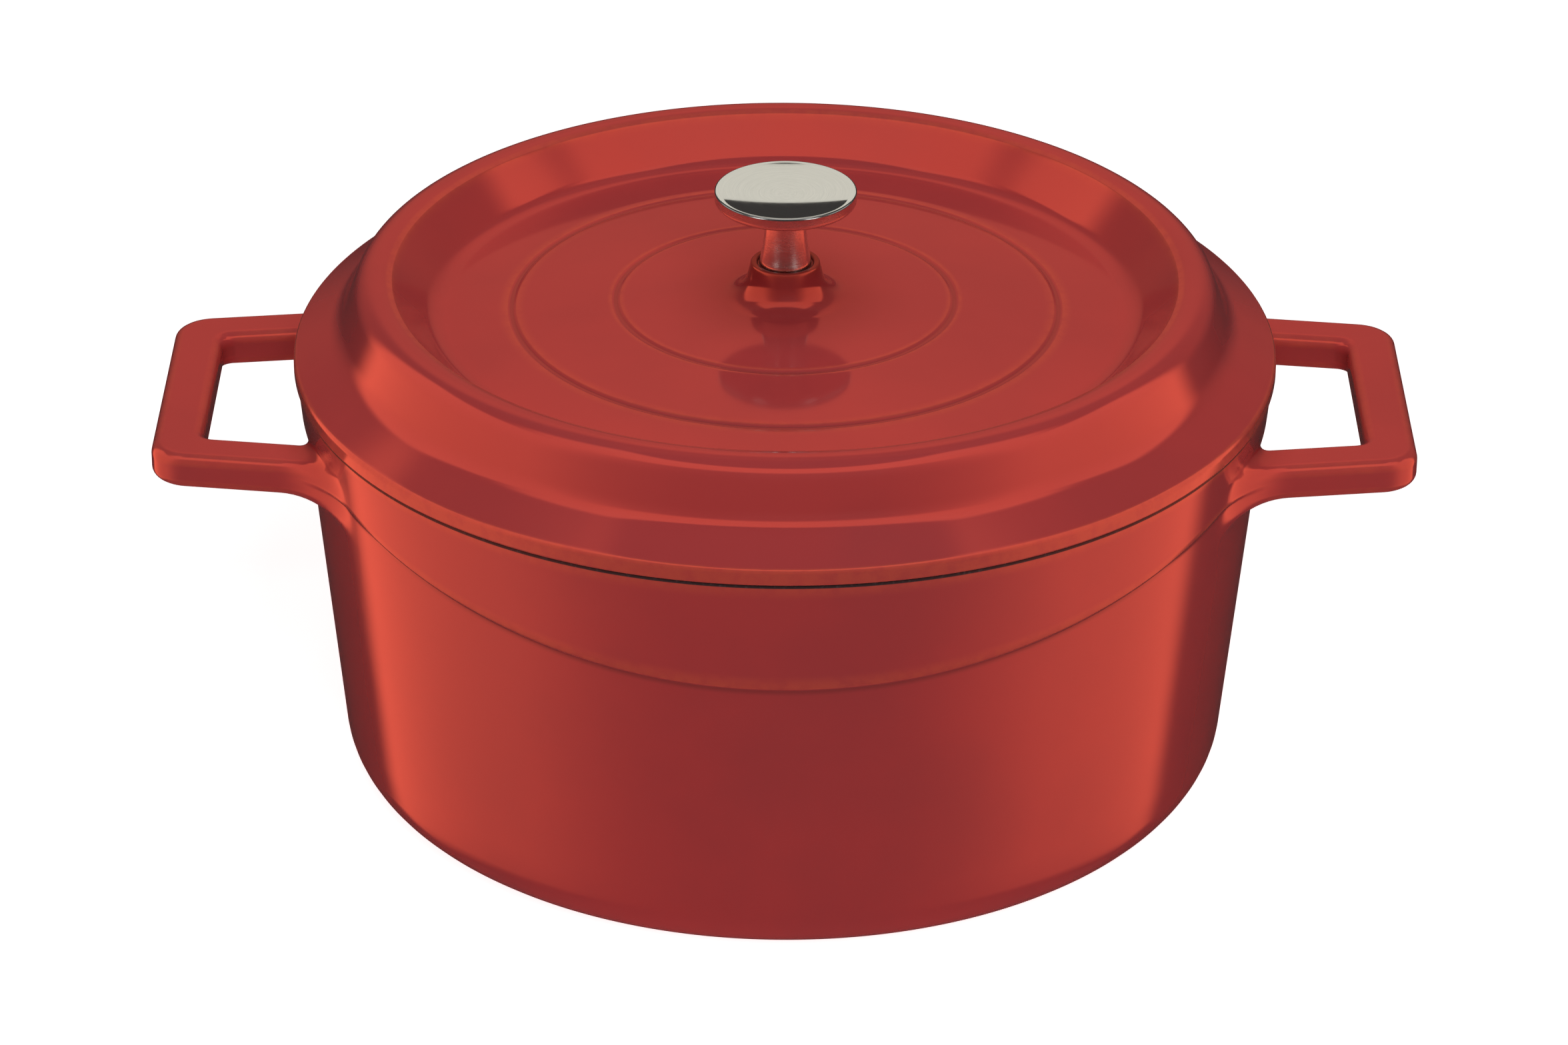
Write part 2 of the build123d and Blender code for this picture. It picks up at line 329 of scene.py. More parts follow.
class Lathe(NodeTree):
    """Turns a slice into a whole ring of copies about the upright axis."""

    def __init__(self) -> None:
        """Builds the tree: copies on one point, each turned a little further."""
        super().__init__("turned")
        copies = self.add_input("Copies", "NodeSocketInt")
        points = self.node("GeometryNodePoints", {}, {"Count": copies}).outputs[0]
        index = self.node("GeometryNodeInputIndex", {}, {}).outputs[0]
        angle = self.maths("DIVIDE", self.maths("MULTIPLY", index, math.tau), copies)
        spin = self.node("FunctionNodeAxisAngleToRotation", {}, {"Axis": (0, 0, 1), "Angle": angle})
        placed = self.node(
            "GeometryNodeInstanceOnPoints",
            {},
            {"Points": points, "Instance": self.source.outputs["Geometry"], "Rotation": spin.outputs[0]},
        )
        self.close(placed.outputs[0], weld=True)

    def turn(
        self, name: str, profile: list[Point], inside: list[bool], closed: bool, copies: int,
        finishes: tuple[bpy.types.Material, bpy.types.Material],
    ) -> bpy.types.Object:
        """Turns an outline about the axis.

        Args:
            name: The piece's name.
            profile: Radius and height of each point, out over the top and back underneath.
            inside: Whether each run of the outline takes the second finish.
            closed: Whether the outline joins up, or ends on the axis at both ends.
            copies: How many slices go round.
            finishes: The outer and the inner finish.

        Returns:
            The turned piece.
        """
        step = math.tau / copies
        vertices: list[tuple[float, float, float]] = []
        pairs: list[tuple[int, int]] = []
        for radius, height in profile:
            first = len(vertices)
            if radius < ON_AXIS:
                vertices.append((0, 0, height))
                pairs.append((first, first))
            else:
                vertices.append((radius, 0, height))
                vertices.append((radius * math.cos(step), radius * math.sin(step), height))
                pairs.append((first, first + 1))
        runs = list(zip(pairs, pairs[1:] + pairs[:1]))
        if not closed:
            runs.pop()
        faces = []
        for (near, near_end), (far, far_end) in runs:
            face = [near, far, far_end, near_end]
            faces.append([v for place, v in enumerate(face) if v not in face[:place]])
        mesh = bpy.data.meshes.new("slice")
        mesh.from_pydata(vertices, [], faces)
        layer = mesh.attributes.new("inside", "BOOLEAN", "FACE")
        layer.data.foreach_set("value", inside[: len(faces)])
        values = {"Copies": copies, "Finish": finishes[0], "Inside Finish": finishes[1]}
        return self.run(name, new_object("slice", mesh), values)


class Rings(NodeTree):
    """Sets copies of a small shape in rings under a dome, with six more in each ring than in the last."""

    def __init__(self) -> None:
        """Builds the tree: a count, each copy's ring and place in it, and its height under the dome."""
        super().__init__("rings")
        first = self.add_input("First Ring", "NodeSocketInt")
        last = self.add_input("Last Ring", "NodeSocketInt")
        pitch = self.add_input("Pitch", "NodeSocketFloat")
        dome = self.add_input("Dome Radius", "NodeSocketFloat")
        crown = self.add_input("Crown Height", "NodeSocketFloat")
        skipped = self.count_inside(self.maths("SUBTRACT", first, 1.0))
        count = self.maths("SUBTRACT", self.count_inside(last), skipped)
        index = self.maths("ADD", self.node("GeometryNodeInputIndex", {}, {}).outputs[0], skipped)
        # a copy's ring is the smallest whole r with 3 r (r + 1) > index, by the formula for square equations
        root = self.maths("SQRT", self.maths("ADD", self.maths("MULTIPLY", index, 12.0), 21.0))
        ring = self.maths("CEIL", self.maths("DIVIDE", self.maths("SUBTRACT", root, 3.0 + 1e-3), 6.0))
        place = self.maths("SUBTRACT", index, self.count_inside(self.maths("SUBTRACT", ring, 1.0)))
        sixth = self.maths("MULTIPLY", ring, 6.0)
        angle = self.maths("DIVIDE", self.maths("MULTIPLY", place, math.tau), sixth)
        radius = self.maths("MULTIPLY", ring, pitch)
        across = self.maths("SUBTRACT", self.maths("POWER", dome, 2.0), self.maths("POWER", radius, 2.0))
        height = self.maths("ADD", self.maths("SUBTRACT", self.maths("SQRT", across), dome), crown)
        along_x = self.maths("MULTIPLY", radius, self.maths("COSINE", angle))
        along_y = self.maths("MULTIPLY", radius, self.maths("SINE", angle))
        position = self.node("ShaderNodeCombineXYZ", {}, {"X": along_x, "Y": along_y, "Z": height}).outputs[0]
        points = self.node("GeometryNodePoints", {}, {"Count": count, "Position": position}).outputs[0]
        lean = self.maths("DIVIDE", radius, dome)
        tilt = self.node("ShaderNodeCombineXYZ", {}, {"X": 0.0, "Y": lean, "Z": angle}).outputs[0]
        placed = self.node(
            "GeometryNodeInstanceOnPoints",
            {},
            {"Points": points, "Instance": self.source.outputs["Geometry"], "Rotation": tilt},
        )
        self.close(placed.outputs[0], weld=False)

    def count_inside(self, rings: bpy.types.NodeSocket) -> bpy.types.NodeSocket:
        """Adds nodes for how many copies stand in that many rings."""
        return self.maths("MULTIPLY", self.maths("MULTIPLY", rings, self.maths("ADD", rings, 1.0)), 3.0)


# ---------------------------------------------------------------- shaders


class Value:
    """A shader socket that takes part in Python arithmetic."""

    def __init__(self, graph: "Shader", socket: bpy.types.NodeSocket) -> None:
        """Wraps a socket of a shader."""
        self.graph = graph
        self.socket = socket

    def __add__(self, other: object) -> "Value":
        """Adds."""
        return self.graph.maths("ADD", self, other)

    def __sub__(self, other: object) -> "Value":
        """Subtracts."""
        return self.graph.maths("SUBTRACT", self, other)

    def __rsub__(self, other: object) -> "Value":
        """Subtracts from a number."""
        return self.graph.maths("SUBTRACT", other, self)

    def __mul__(self, other: object) -> "Value":
        """Multiplies."""
        return self.graph.maths("MULTIPLY", self, other)

    def __truediv__(self, other: object) -> "Value":
        """Divides."""
        return self.graph.maths("DIVIDE", self, other)

    def __pow__(self, other: object) -> "Value":
        """Raises to a power."""
        return self.graph.maths("POWER", self, other)

    __radd__ = __add__
    __rmul__ = __mul__

    def ramp(self, low: float, high: float, start: float = 0.0, end: float = 1.0) -> "Value":
        """Rises smoothly from one value to another.

        Args:
            low: Where the rise begins. It may be above high, and the ramp then runs backwards.
            high: Where it is done.
            start: The result at low and beyond.
            end: The result at high and beyond.

        Returns:
            The result.
        """
        settings = {"interpolation_type": "SMOOTHSTEP"}
        values = {"Value": self, "From Min": low, "From Max": high, "To Min": start, "To Max": end}
        return self.graph.node("ShaderNodeMapRange", settings, values, "Result")


class Shader:
    """A material with one Principled shader, and short ways to feed it."""

    def __init__(self, name: str, **constants: object) -> None:
        """Makes the material.

        Args:
            name: The material's name.
            constants: Values for the shader's sockets, with spaces in their names as underscores.
        """
        self.material = bpy.data.materials.new(name)
        self.material.use_nodes = True
        self.tree = self.material.node_tree
        self.surface = self.tree.nodes["Principled BSDF"]
        for key, value in constants.items():
            self.surface.inputs[key.replace("_", " ")].default_value = value
        self.place = self.node("ShaderNodeTexCoord", {}, {}, "Object")

    def node(
        self, kind: str, settings: dict[str, object], values: dict[object, object], output: object
    ) -> Value:
        """Adds a node.

        Args:
            kind: The node's type.
            settings: Properties, which are set first.
            values: A wrapped socket to link or a value for each input, by name or place.
            output: Name or place of the output to return.

        Returns:
            The wrapped output.
        """
        sockets = {key: value.socket if isinstance(value, Value) else value for key, value in values.items()}
        return Value(self, add_node(self.tree, kind, settings, sockets).outputs[output])

    def maths(self, operation: str, *values: object) -> Value:
        """Adds a Math node on the values."""
        return self.node("ShaderNodeMath", {"operation": operation}, dict(enumerate(values)), 0)

    def noise(
        self, scale: float, detail: float = 2.0, rough: float = 0.5, place: Value | None = None
    ) -> Value:
        """Adds noise.

        Args:
            scale: About how many waves it has in a metre.
            detail: How many finer layers it has.
            rough: How strong the finer layers are.
            place: Where it is read, if that isn't the surface itself.

        Returns:
            The noise, from 0 to 1.
        """
        values = {"Vector": place or self.place, "Scale": scale, "Detail": detail, "Roughness": rough}
        return self.node("ShaderNodeTexNoise", {}, values, "Fac")

    def blend(self, mask: Value, low: object, high: object) -> Value:
        """Mixes two colours by a mask."""
        colours = [c if isinstance(c, Value) else (*c, 1.0) for c in (low, high)]
        return self.node("ShaderNodeMix", {"data_type": "RGBA"}, {0: mask, 6: colours[0], 7: colours[1]}, 2)

    def attribute(self, name: str) -> Value:
        """Reads a number stored on the mesh."""
        return self.node("ShaderNodeAttribute", {"attribute_name": name}, {}, "Fac")

    def feed(self, socket: str, value: Value) -> None:
        """Links a value into the surface shader."""
        self.tree.links.new(value.socket, self.surface.inputs[socket])

    def emboss(self, height: Value, distance: float) -> None:
        """Feeds the shader's normal with a bump of that depth in metres."""
        bump = self.node("ShaderNodeBump", {}, {"Height": height, "Distance": distance}, "Normal")
        self.feed("Normal", bump)


@dataclass(frozen=True)
class RedEnamel:
    """Clear red glass over a pale ground coat: orange at outward edges, where it runs thin and where a
    highlight is painted along the edge; maroon in hollows, where it pools and where shade is painted.
    """

    name: str = "clear_red_enamel"
    body: Colour = (0.265, 0.029, 0.029)
    shade: Colour = (0.235, 0.027, 0.028)
    # orange at outward edges: enamel running thin there, and partly a painted highlight along the edges
    thin_enamel_and_highlight: Colour = (0.37, 0.060, 0.030)
    # maroon in hollows: enamel pooling there, and partly painted shade in creases and grooves
    pooled_and_shaded: Colour = (0.12, 0.020, 0.020)
    shade_fade: Fade = (0.35, 0.68)  # where each mask fades in, and its values there if not 0 and 1
    edge_fade: Fade = (0.25, 1.0)
    edge_grain: Fade = (0.30, 0.62, 0.20, 0.42)
    hollow_fade: Fade = (0.15, 1.0, 0.0, 0.55)
    gloss_fade: Fade = (0.25, 0.75, 0.08, 0.13)
    refraction: float = 1.5
    wave: float = 90e-6  # depth of the broad waves in the glass, and of its fine orange peel
    peel: float = 3.0e-6
    drift_scale: float = 16.0  # waves in a metre: slow drift of colour, grain at edges, waves and peel
    grain_scale: float = 240.0
    wave_scale: float = 24.0
    peel_scale: float = 430.0

    def material(self) -> bpy.types.Material:
        """Builds the enamel.

        Returns:
            The material.
        """
        shader = Shader(self.name, IOR=self.refraction)
        curve = shader.attribute("curve")
        drift = shader.noise(self.drift_scale, 3.0)
        grain = shader.noise(self.grain_scale, 3.0, 0.6)
        colour = shader.blend(drift.ramp(*self.shade_fade), self.body, self.shade)
        edge = curve.ramp(*self.edge_fade) * grain.ramp(*self.edge_grain)
        hollow = (curve * -1.0).ramp(*self.hollow_fade)
        # outward edges turn orange: thin enamel, and a painted edge highlight
        colour = shader.blend(edge, colour, self.thin_enamel_and_highlight)
        # hollows turn maroon: pooled enamel, and painted shade
        colour = shader.blend(hollow, colour, self.pooled_and_shaded)
        shader.feed("Base Color", colour)
        shader.feed("Roughness", drift.ramp(*self.gloss_fade))
        height = shader.noise(self.wave_scale, 1.0) + shader.noise(self.peel_scale) * (self.peel / self.wave)
        shader.emboss(height, self.wave)
        return shader.material


@dataclass(frozen=True)
class BlackEnamel:
    """Satin black enamel with fine pits, on the cooking faces, the rim and the lid's seat."""

    name: str = "satin_black_enamel"
    body: Colour = (0.015, 0.016, 0.018)
    fleck: Colour = (0.036, 0.037, 0.040)
    fleck_fade: Fade = (0.52, 0.72)
    gloss_fade: Fade = (0.30, 0.70, 0.44, 0.594)
    refraction: float = 1.28
    relief: float = 35e-6
    pit_share: float = 0.5
    grain_scale: float = 900.0  # waves in a metre: grain, pits and the slow drift of the gloss
    pit_scale: float = 2600.0
    drift_scale: float = 30.0

    def material(self) -> bpy.types.Material:
        """Builds the enamel.

        Returns:
            The material.
        """
        shader = Shader(self.name, IOR=self.refraction)
        fine = shader.noise(self.grain_scale, 3.0, 0.6)
        broad = shader.noise(self.drift_scale)
        shader.feed("Base Color", shader.blend(fine.ramp(*self.fleck_fade), self.body, self.fleck))
        shader.feed("Roughness", broad.ramp(*self.gloss_fade))
        shader.emboss(fine + shader.noise(self.pit_scale) * self.pit_share, self.relief)
        return shader.material


class Polish(Enum):
    """How a steel surface was finished."""

    MIRROR = "mirror_steel"
    TURNED = "turned_steel"
    PLAIN = "plain_steel"


@dataclass(frozen=True)
class Steel:
    """Stainless steel, turned about the upright axis, with fine tool lines where it isn't polished."""

    polish: Polish
    body: Colour = (0.80, 0.785, 0.745)
    dull_share: float = 0.90  # how bright the duller lines are beside the body
    line_pitch: float = 0.16e-3
    line_waves: float = 1.6  # how fast a line changes on its way round
    smear_scale: float = 160.0
    axis_guard: float = 1e-12  # keeps the radius above zero on the axis
    dull_fade: Fade = (0.30, 0.70)
    gloss_fade: Fade = (0.35, 0.65)

    @property
    def line_depth(self) -> float:
        """Depth of the tool lines."""
        return {Polish.MIRROR: 0.15e-6, Polish.TURNED: 5.0e-6, Polish.PLAIN: 3.0e-6}[self.polish]

    @property
    def gloss(self) -> Point:
        """How rough the surface is.

        Returns:
            The lowest and the highest roughness.
        """
        return {
            Polish.MIRROR: (0.025, 0.06),
            Polish.TURNED: (0.16, 0.30),
            Polish.PLAIN: (0.24, 0.38),
        }[self.polish]

    def material(self) -> bpy.types.Material:
        """Builds the steel.

        Returns:
            The material.
        """
        shader = Shader(self.polish.value, Metallic=1.0)
        parts = {axis: shader.node("ShaderNodeSeparateXYZ", {}, {0: shader.place}, axis) for axis in "XYZ"}
        radius = (parts["X"] * parts["X"] + parts["Y"] * parts["Y"] + self.axis_guard) ** 0.5
        ring = {axis: parts[axis] / radius * self.line_waves for axis in "XY"}
        ring["Z"] = (parts["Z"] + radius) / self.line_pitch
        lines = shader.noise(1.0, 3.0, 0.7, shader.node("ShaderNodeCombineXYZ", {}, ring, 0))
        smear = shader.noise(self.smear_scale, 3.0)
        low, high = self.gloss
        dull = tuple(self.dull_share * channel for channel in self.body)
        shader.feed("Base Color", shader.blend(lines.ramp(*self.dull_fade), dull, self.body))
        shader.feed("Roughness", (lines * 0.5 + smear * 0.5).ramp(*self.gloss_fade, low, high))
        shader.emboss(lines, self.line_depth)
        return shader.material


@dataclass
class Finishes:
    """Every finish of the oven, each built once."""

    red: bpy.types.Material = field(default_factory=lambda: RedEnamel().material())
    black: bpy.types.Material = field(default_factory=lambda: BlackEnamel().material())
    mirror: bpy.types.Material = field(default_factory=lambda: Steel(Polish.MIRROR).material())
    turned: bpy.types.Material = field(default_factory=lambda: Steel(Polish.TURNED).material())
    plain: bpy.types.Material = field(default_factory=lambda: Steel(Polish.PLAIN).material())


# ---------------------------------------------------------------- pot


@dataclass
class Skin:
    """A mesh in the making."""

    vertices: list[np.ndarray]
    faces: list[list[int]] = field(default_factory=list)
    black: list[bool] = field(default_factory=list)

    def add_face(self, corners: list[int], black: bool = False) -> None:
        """Adds a face, red or black."""
        self.faces.append(corners)
        self.black.append(black)

    def add_ring(self, points: np.ndarray) -> list[int]:
        """Adds a ring of vertices.

        Args:
            points: Their places.

        Returns:
            Their numbers.
        """
        first = len(self.vertices)
        self.vertices += list(points)
        return list(range(first, len(self.vertices)))

    def finish(self, name: str, finishes: Finishes) -> bpy.types.Object:
        """Makes the mesh, without the vertices that no face uses.

        Args:
            name: The piece's name.
            finishes: The oven's finishes.

        Returns:
            The piece.
        """
        used = np.unique(np.concatenate([np.array(face) for face in self.faces]))
        renumber = np.full(len(self.vertices), -1)
        renumber[used] = np.arange(len(used))
        faces = [[int(renumber[corner]) for corner in face] for face in self.faces]
        mesh = bpy.data.meshes.new(name)
        mesh.from_pydata(np.array(self.vertices)[used].tolist(), [], faces)
        mesh.materials.append(finishes.red)
        mesh.materials.append(finishes.black)
        mesh.polygons.foreach_set("material_index", np.array(self.black, dtype=np.int32))
        mesh.polygons.foreach_set("use_smooth", np.ones(len(faces), dtype=bool))
        mesh.update()
        mark_curvature(mesh)
        return new_object(name, mesh)


@dataclass
class Pot:
    """The pot's casting: base, leaning wall with its arched band, rim, inside and two loop handles."""

    rim_height: float = 131.0 * MM
    base_radius: float = 134.3 * MM
    wall_slope: float = math.radians(5.3)
    base_round: float = 16.0 * MM
    wall: float = 3.8 * MM
    floor_thickness: float = 4.2 * MM
    inside_round: float = 14.0 * MM
    rim_wall: float = 5.6 * MM
    rim_wall_depth: float = 11.0 * MM
    rim_wall_blend: float = 13.0 * MM
    rim_wall_round: float = 12.0 * MM
    rim_round: float = 1.2 * MM
    base_hollow: float = 1.0 * MM
    foot_ring_width: float = 12.0 * MM
    hollow_round: float = 0.45 * MM

    band_proud: float = 0.8 * MM
    band_drop: float = 35.8 * MM
    band_arch_radius: float = 460.0 * MM
    band_edge: float = 1.5 * MM  # height over which the band's lower edge rounds out of the wall

    handle_drop: float = 11.3 * MM
    handle_thickness: float = 11.0 * MM
    handle_reach: float = 41.3 * MM
    handle_end_width: float = 94.2 * MM
    bar_width: float = 15.2 * MM
    splay: float = math.radians(7.75)
    outer_corner: float = 11.0 * MM
    opening_corner: float = 4.5 * MM
    edge_round: float = 3.4 * MM

    columns: int = 480
    arch_passes: int = 6
    longest_run: float = 12.0 * MM  # between two rows of a plain face, and how near its ends it has a row
    run_guard: float = 0.8 * MM
    wall_steps: int = 9  # rows of the wall below the roots, on to the band's edge, and over that edge
    foot_steps: int = 11
    edge_steps: int = 7
    root_steps: int = 8  # rows of the band beside the roots, and above them
    top_steps: int = 3
    root_foot: float = 0.86  # where a root starts, as a share of the plain wall's height
    root_head: float = 0.66  # where it ends, as a share of the band's height
    root_from: int = 18  # first and last column of a root, counted from the handle's middle
    root_to: int = 38
    root_squareness: float = 3.0  # 2 makes a root's outline an ellipse, more makes it squarer
    wall_pull: float = 0.70  # how far the flare's curve leans on its tangent at the wall
    arm_pull: float = 0.52  # and at the arm
    flare_steps: int = 12
    arm_steps: tuple[float, ...] = (0.06, 0.3, 0.6, 0.86, 0.96, 1.0)
    corner_steps: int = 12
    bar_steps: tuple[float, ...] = (0.05, 0.2, 0.45, 0.72, 1.0)

    def wall_radius(self, height: object) -> object:
        """Outside radius of the plain wall at a height."""
        return self.base_radius + height * math.tan(self.wall_slope)

    @property
    def rim_radius(self) -> float:
        """Outside radius of the band at the rim."""
        return self.wall_radius(self.rim_height) + self.band_proud

    def arch(self, angle: np.ndarray) -> np.ndarray:
        """Finds the band's lower edge, an arc as seen from the front, by closing in on it.

        Args:
            angle: Angles round the pot.

        Returns:
            The edge's height at each angle.
        """
        foot = self.rim_height - self.band_drop
        height = np.full_like(angle, foot)
        for _ in range(self.arch_passes):
            across = self.wall_radius(height) * np.cos(angle)
            height = foot + self.band_arch_radius - np.sqrt(self.band_arch_radius**2 - across**2)
        return height

    def on_wall(self, angle: np.ndarray, height: np.ndarray) -> np.ndarray:
        """Finds points of the outer wall, with its band.

        Args:
            angle: The points' angles.
            height: The points' heights.

        Returns:
            The points.
        """
        rise = np.clip((height - self.arch(angle)) / self.band_edge + 0.5, 0, 1)
        radius = self.wall_radius(height) + self.band_proud * rise * rise * (3 - 2 * rise)
        return np.stack([radius * np.cos(angle), radius * np.sin(angle), height], axis=-1)

    def under_rows(self) -> list[Point]:
        """Lays out the base.

        Returns:
            Radius and height of the rows from the base's middle to the foot of the wall.
        """
        ring = self.base_radius - self.base_round - self.foot_ring_width
        top = 3 * self.base_round
        corners = [
            (0.0, self.base_hollow),
            (ring, self.base_hollow),
            (ring + self.hollow_round, 0.0),
            (self.base_radius, 0.0),
            (self.wall_radius(top), top),
        ]
        line = rounded(corners, [self.hollow_round, self.hollow_round, self.base_round])
        return spaced(line[:-1], self.longest_run, self.run_guard)

    def inner_rows(self) -> list[Point]:
        """Lays out the rim and the inside.

        Returns:
            Radius and height of the rows from the rim's outside to the middle of the floor.
        """
        blend_top = self.rim_height - self.rim_wall_depth
        blend_foot = blend_top - self.rim_wall_blend
        mouth = self.wall_radius(self.rim_height) - self.rim_wall
        start = self.rim_height - 2 * self.rim_round
        corners = [
            (self.wall_radius(start) + self.band_proud, start),
            (self.rim_radius, self.rim_height),
            (mouth, self.rim_height),
            (mouth, blend_top),
            (self.wall_radius(blend_foot) - self.wall, blend_foot),
            (self.wall_radius(self.floor_thickness) - self.wall, self.floor_thickness),
            (0.0, self.floor_thickness),
        ]
        rounds = [self.rim_round, self.rim_round, self.rim_wall_round, self.rim_wall_round, self.inside_round]
        return spaced(rounded(corners, rounds), self.longest_run, self.run_guard)[1:]

    def wall_grid(self, angle: np.ndarray, foot: float, top: float) -> tuple[np.ndarray, tuple[int, int]]:
        """Lays the rows of the outer wall, which follow the band's arched edge.

        Args:
            angle: The angle of each column.
            foot: Height where the wall starts.
            top: Height where it ends.

        Returns:
            The rows' vertices, and the first and last row of the arms' roots.
        """
        edge = self.arch(angle)
        low = edge - self.band_edge / 2
        high = edge + self.band_edge / 2
        runs = (
            (foot, low, 0, self.root_foot, self.wall_steps),
            (foot, low, self.root_foot, 1, self.foot_steps),
            (low, high, 0, 1, self.edge_steps),
            (high, top, 0, self.root_head, self.root_steps),
            (high, top, self.root_head, 1, self.top_steps),
        )
        rows = []
        for start, end, first, last, steps in runs:
            rows += [start + (end - start) * share for share in np.linspace(first, last, steps + 1)[1:]]
        root_low = self.wall_steps - 1
        root_high = root_low + self.foot_steps + self.edge_steps + self.root_steps
        return self.on_wall(angle, np.array(rows)), (root_low, root_high)

    def mirrored(self, column: object, end: int, hand: int) -> object:
        """Column at the same place on the arm at another end (+X or -X) and hand (+Y or -Y)."""
        return (hand * column if end > 0 else self.columns // 2 - hand * column) % self.columns

    def round_roots(self, grid: np.ndarray, loop: list[tuple[int, int]]) -> np.ndarray:
        """Rounds the corners of the arms' roots by moving their vertices along the wall.

        Args:
            grid: The pot's vertices, changed at all four roots.
            loop: Row and column of each vertex round the root at +X and +Y.

        Returns:
            The vertices of that root.
        """
        row, column = np.array(loop).T
        middle = (self.root_from + self.root_to) / 2
        aside = (column - middle) / (self.root_to - middle)
        low = grid[row.min(), column, 2]
        high = grid[row.max(), column, 2]
        up = 2 * (grid[row, column, 2] - low) / (high - low) - 1
        power = self.root_squareness
        shrink = (np.abs(aside) ** power + np.abs(up) ** power) ** (-1 / power)
        angle = (middle + aside * shrink * (self.root_to - middle)) * math.tau / self.columns
        root = self.on_wall(angle, low + (high - low) * (up * shrink + 1) / 2)
        for end in (1, -1):
            for hand in (1, -1):
                grid[row, self.mirrored(column, end, hand)] = root * np.array([end, hand, 1.0])
        return root

    def section(self, share: np.ndarray, half: float) -> tuple[np.ndarray, np.ndarray]:
        """Follows one side of the arm's section, from the middle of one rounded corner to the next.

        Args:
            share: How far along the side, from 0 to 1.
            half: Half the length of that side.

        Returns:
            The place along the side, and how far the surface has dropped in from it.
        """
        arc = self.edge_round * math.pi / 4
        flat = half - self.edge_round
        along = (share - 0.5) * 2 * (flat + arc)
        angle = np.clip((np.abs(along) - flat) / self.edge_round, 0, None)
        place = np.where(angle > 0, flat + self.edge_round * np.sin(angle), np.abs(along))
        return np.sign(along) * place, self.edge_round * (1 - np.cos(angle))

    def arm_rails(self, roots: np.ndarray, across: np.ndarray, height: np.ndarray) -> np.ndarray:
        """Runs a rail from each vertex of an arm's root, along the arm and the bar, to the bar's middle.

        Args:
            roots: The root's vertices on the wall, for the arm at +X and +Y.
            across: Each rail's place across the arm, from the opening outwards.
            height: Each rail's height above the table.

        Returns:
            The rails' points, one row for each step along them.
        """
        end = self.rim_radius + self.handle_reach
        lean = math.tan(self.splay)
        offset = self.handle_end_width / 2 + end * lean + (across - self.bar_width / 2) / math.cos(self.splay)
        bar = end - self.bar_width / 2 + across
        corner = np.stack([bar, offset - bar * lean, height], axis=-1)
        reach = self.wall_radius(height)
        square = 1 + lean**2
        meet = (lean * offset + np.sqrt((lean * offset) ** 2 - square * (offset**2 - reach**2))) / square
        foot = np.stack([meet, offset - meet * lean, height], axis=-1)
        out = np.array([math.cos(self.splay), -math.sin(self.splay), 0.0])

        angle = np.arctan2(roots[:, 1], roots[:, 0])
        level = math.cos(self.wall_slope)
        down = np.full_like(angle, -math.sin(self.wall_slope))
        normal = np.stack([np.cos(angle) * level, np.sin(angle) * level, down], axis=-1)
        towards = foot - roots
        size = np.linalg.norm(towards, axis=1, keepdims=True)
        towards = towards - normal * np.einsum("ij,ij->i", towards, normal)[:, None]
        towards = towards / np.linalg.norm(towards, axis=1, keepdims=True)
        landing = foot + out * size
        from_wall = roots + towards * size * self.wall_pull
        from_arm = landing - out * size * self.arm_pull
        pulls = (roots, from_wall, from_arm, landing)
        rails = []
        for t in np.linspace(0, 1, self.flare_steps + 1)[1:]:
            weights = ((1 - t) ** 3, 3 * t * (1 - t) ** 2, 3 * t * t * (1 - t), t**3)
            rails.append(sum(weight * pull for weight, pull in zip(weights, pulls)))

        share = (across + self.bar_width / 2) / self.bar_width
        radius = (self.opening_corner + (self.outer_corner - self.opening_corner) * share)[:, None]
        turn = math.pi / 2 - self.splay
        tangent = radius * math.tan(turn / 2)
        enter = corner - out * tangent
        for t in self.arm_steps:
            rails.append(landing + (enter - landing) * t)
        inward = np.array([-math.sin(self.splay), -math.cos(self.splay), 0.0])
        centre = enter + inward * radius
        for alpha in np.linspace(0, turn, self.corner_steps + 1)[1:]:
            turned = np.array(
                [
                    inward[0] * math.cos(alpha) + inward[1] * math.sin(alpha),
                    inward[1] * math.cos(alpha) - inward[0] * math.sin(alpha),
                    0.0,
                ]
            )
            rails.append(centre - turned * radius)
        leave = rails[-1]
        for t in self.bar_steps:
            point = leave.copy()
            point[:, 1] = leave[:, 1] * (1 - t)
            rails.append(point)
        return np.array(rails)

    def root_loop(self, low: int, high: int) -> list[tuple[int, int]]:
        """Goes round the root at +X and +Y, along its foot, up, back along its head and down.

        Args:
            low: The root's first row.
            high: Its last row.

        Returns:
            Row and column of each vertex.
        """
        width = range(self.root_to - self.root_from)
        tall = range(high - low)
        return [
            *((low, self.root_from + step) for step in width),
            *((low + step, self.root_to) for step in tall),
            *((high, self.root_to - step) for step in width),
            *((high - step, self.root_from) for step in tall),
        ]

    def arm_section(self, width: int, tall: int) -> tuple[np.ndarray, np.ndarray]:
        """Lays each vertex of a root's loop on the arm's rounded section.

        Args:
            width: How many steps the loop has along its foot or head.
            tall: How many it has along a side.

        Returns:
            Each vertex's place across the arm, from the opening outwards, and its height above the table.
        """
        half_bar = self.bar_width / 2
        half_deep = self.handle_thickness / 2
        middle = self.rim_height - self.handle_drop - half_deep
        side, side_drop = self.section(np.linspace(0, 1, width + 1)[:-1], half_bar)
        post, post_drop = self.section(np.linspace(0, 1, tall + 1)[:-1], half_deep)
        across = np.concatenate([side, half_bar - post_drop, -side, post_drop - half_bar])
        height = middle + np.concatenate([side_drop - half_deep, post, half_deep - side_drop, -post])
        return across, height

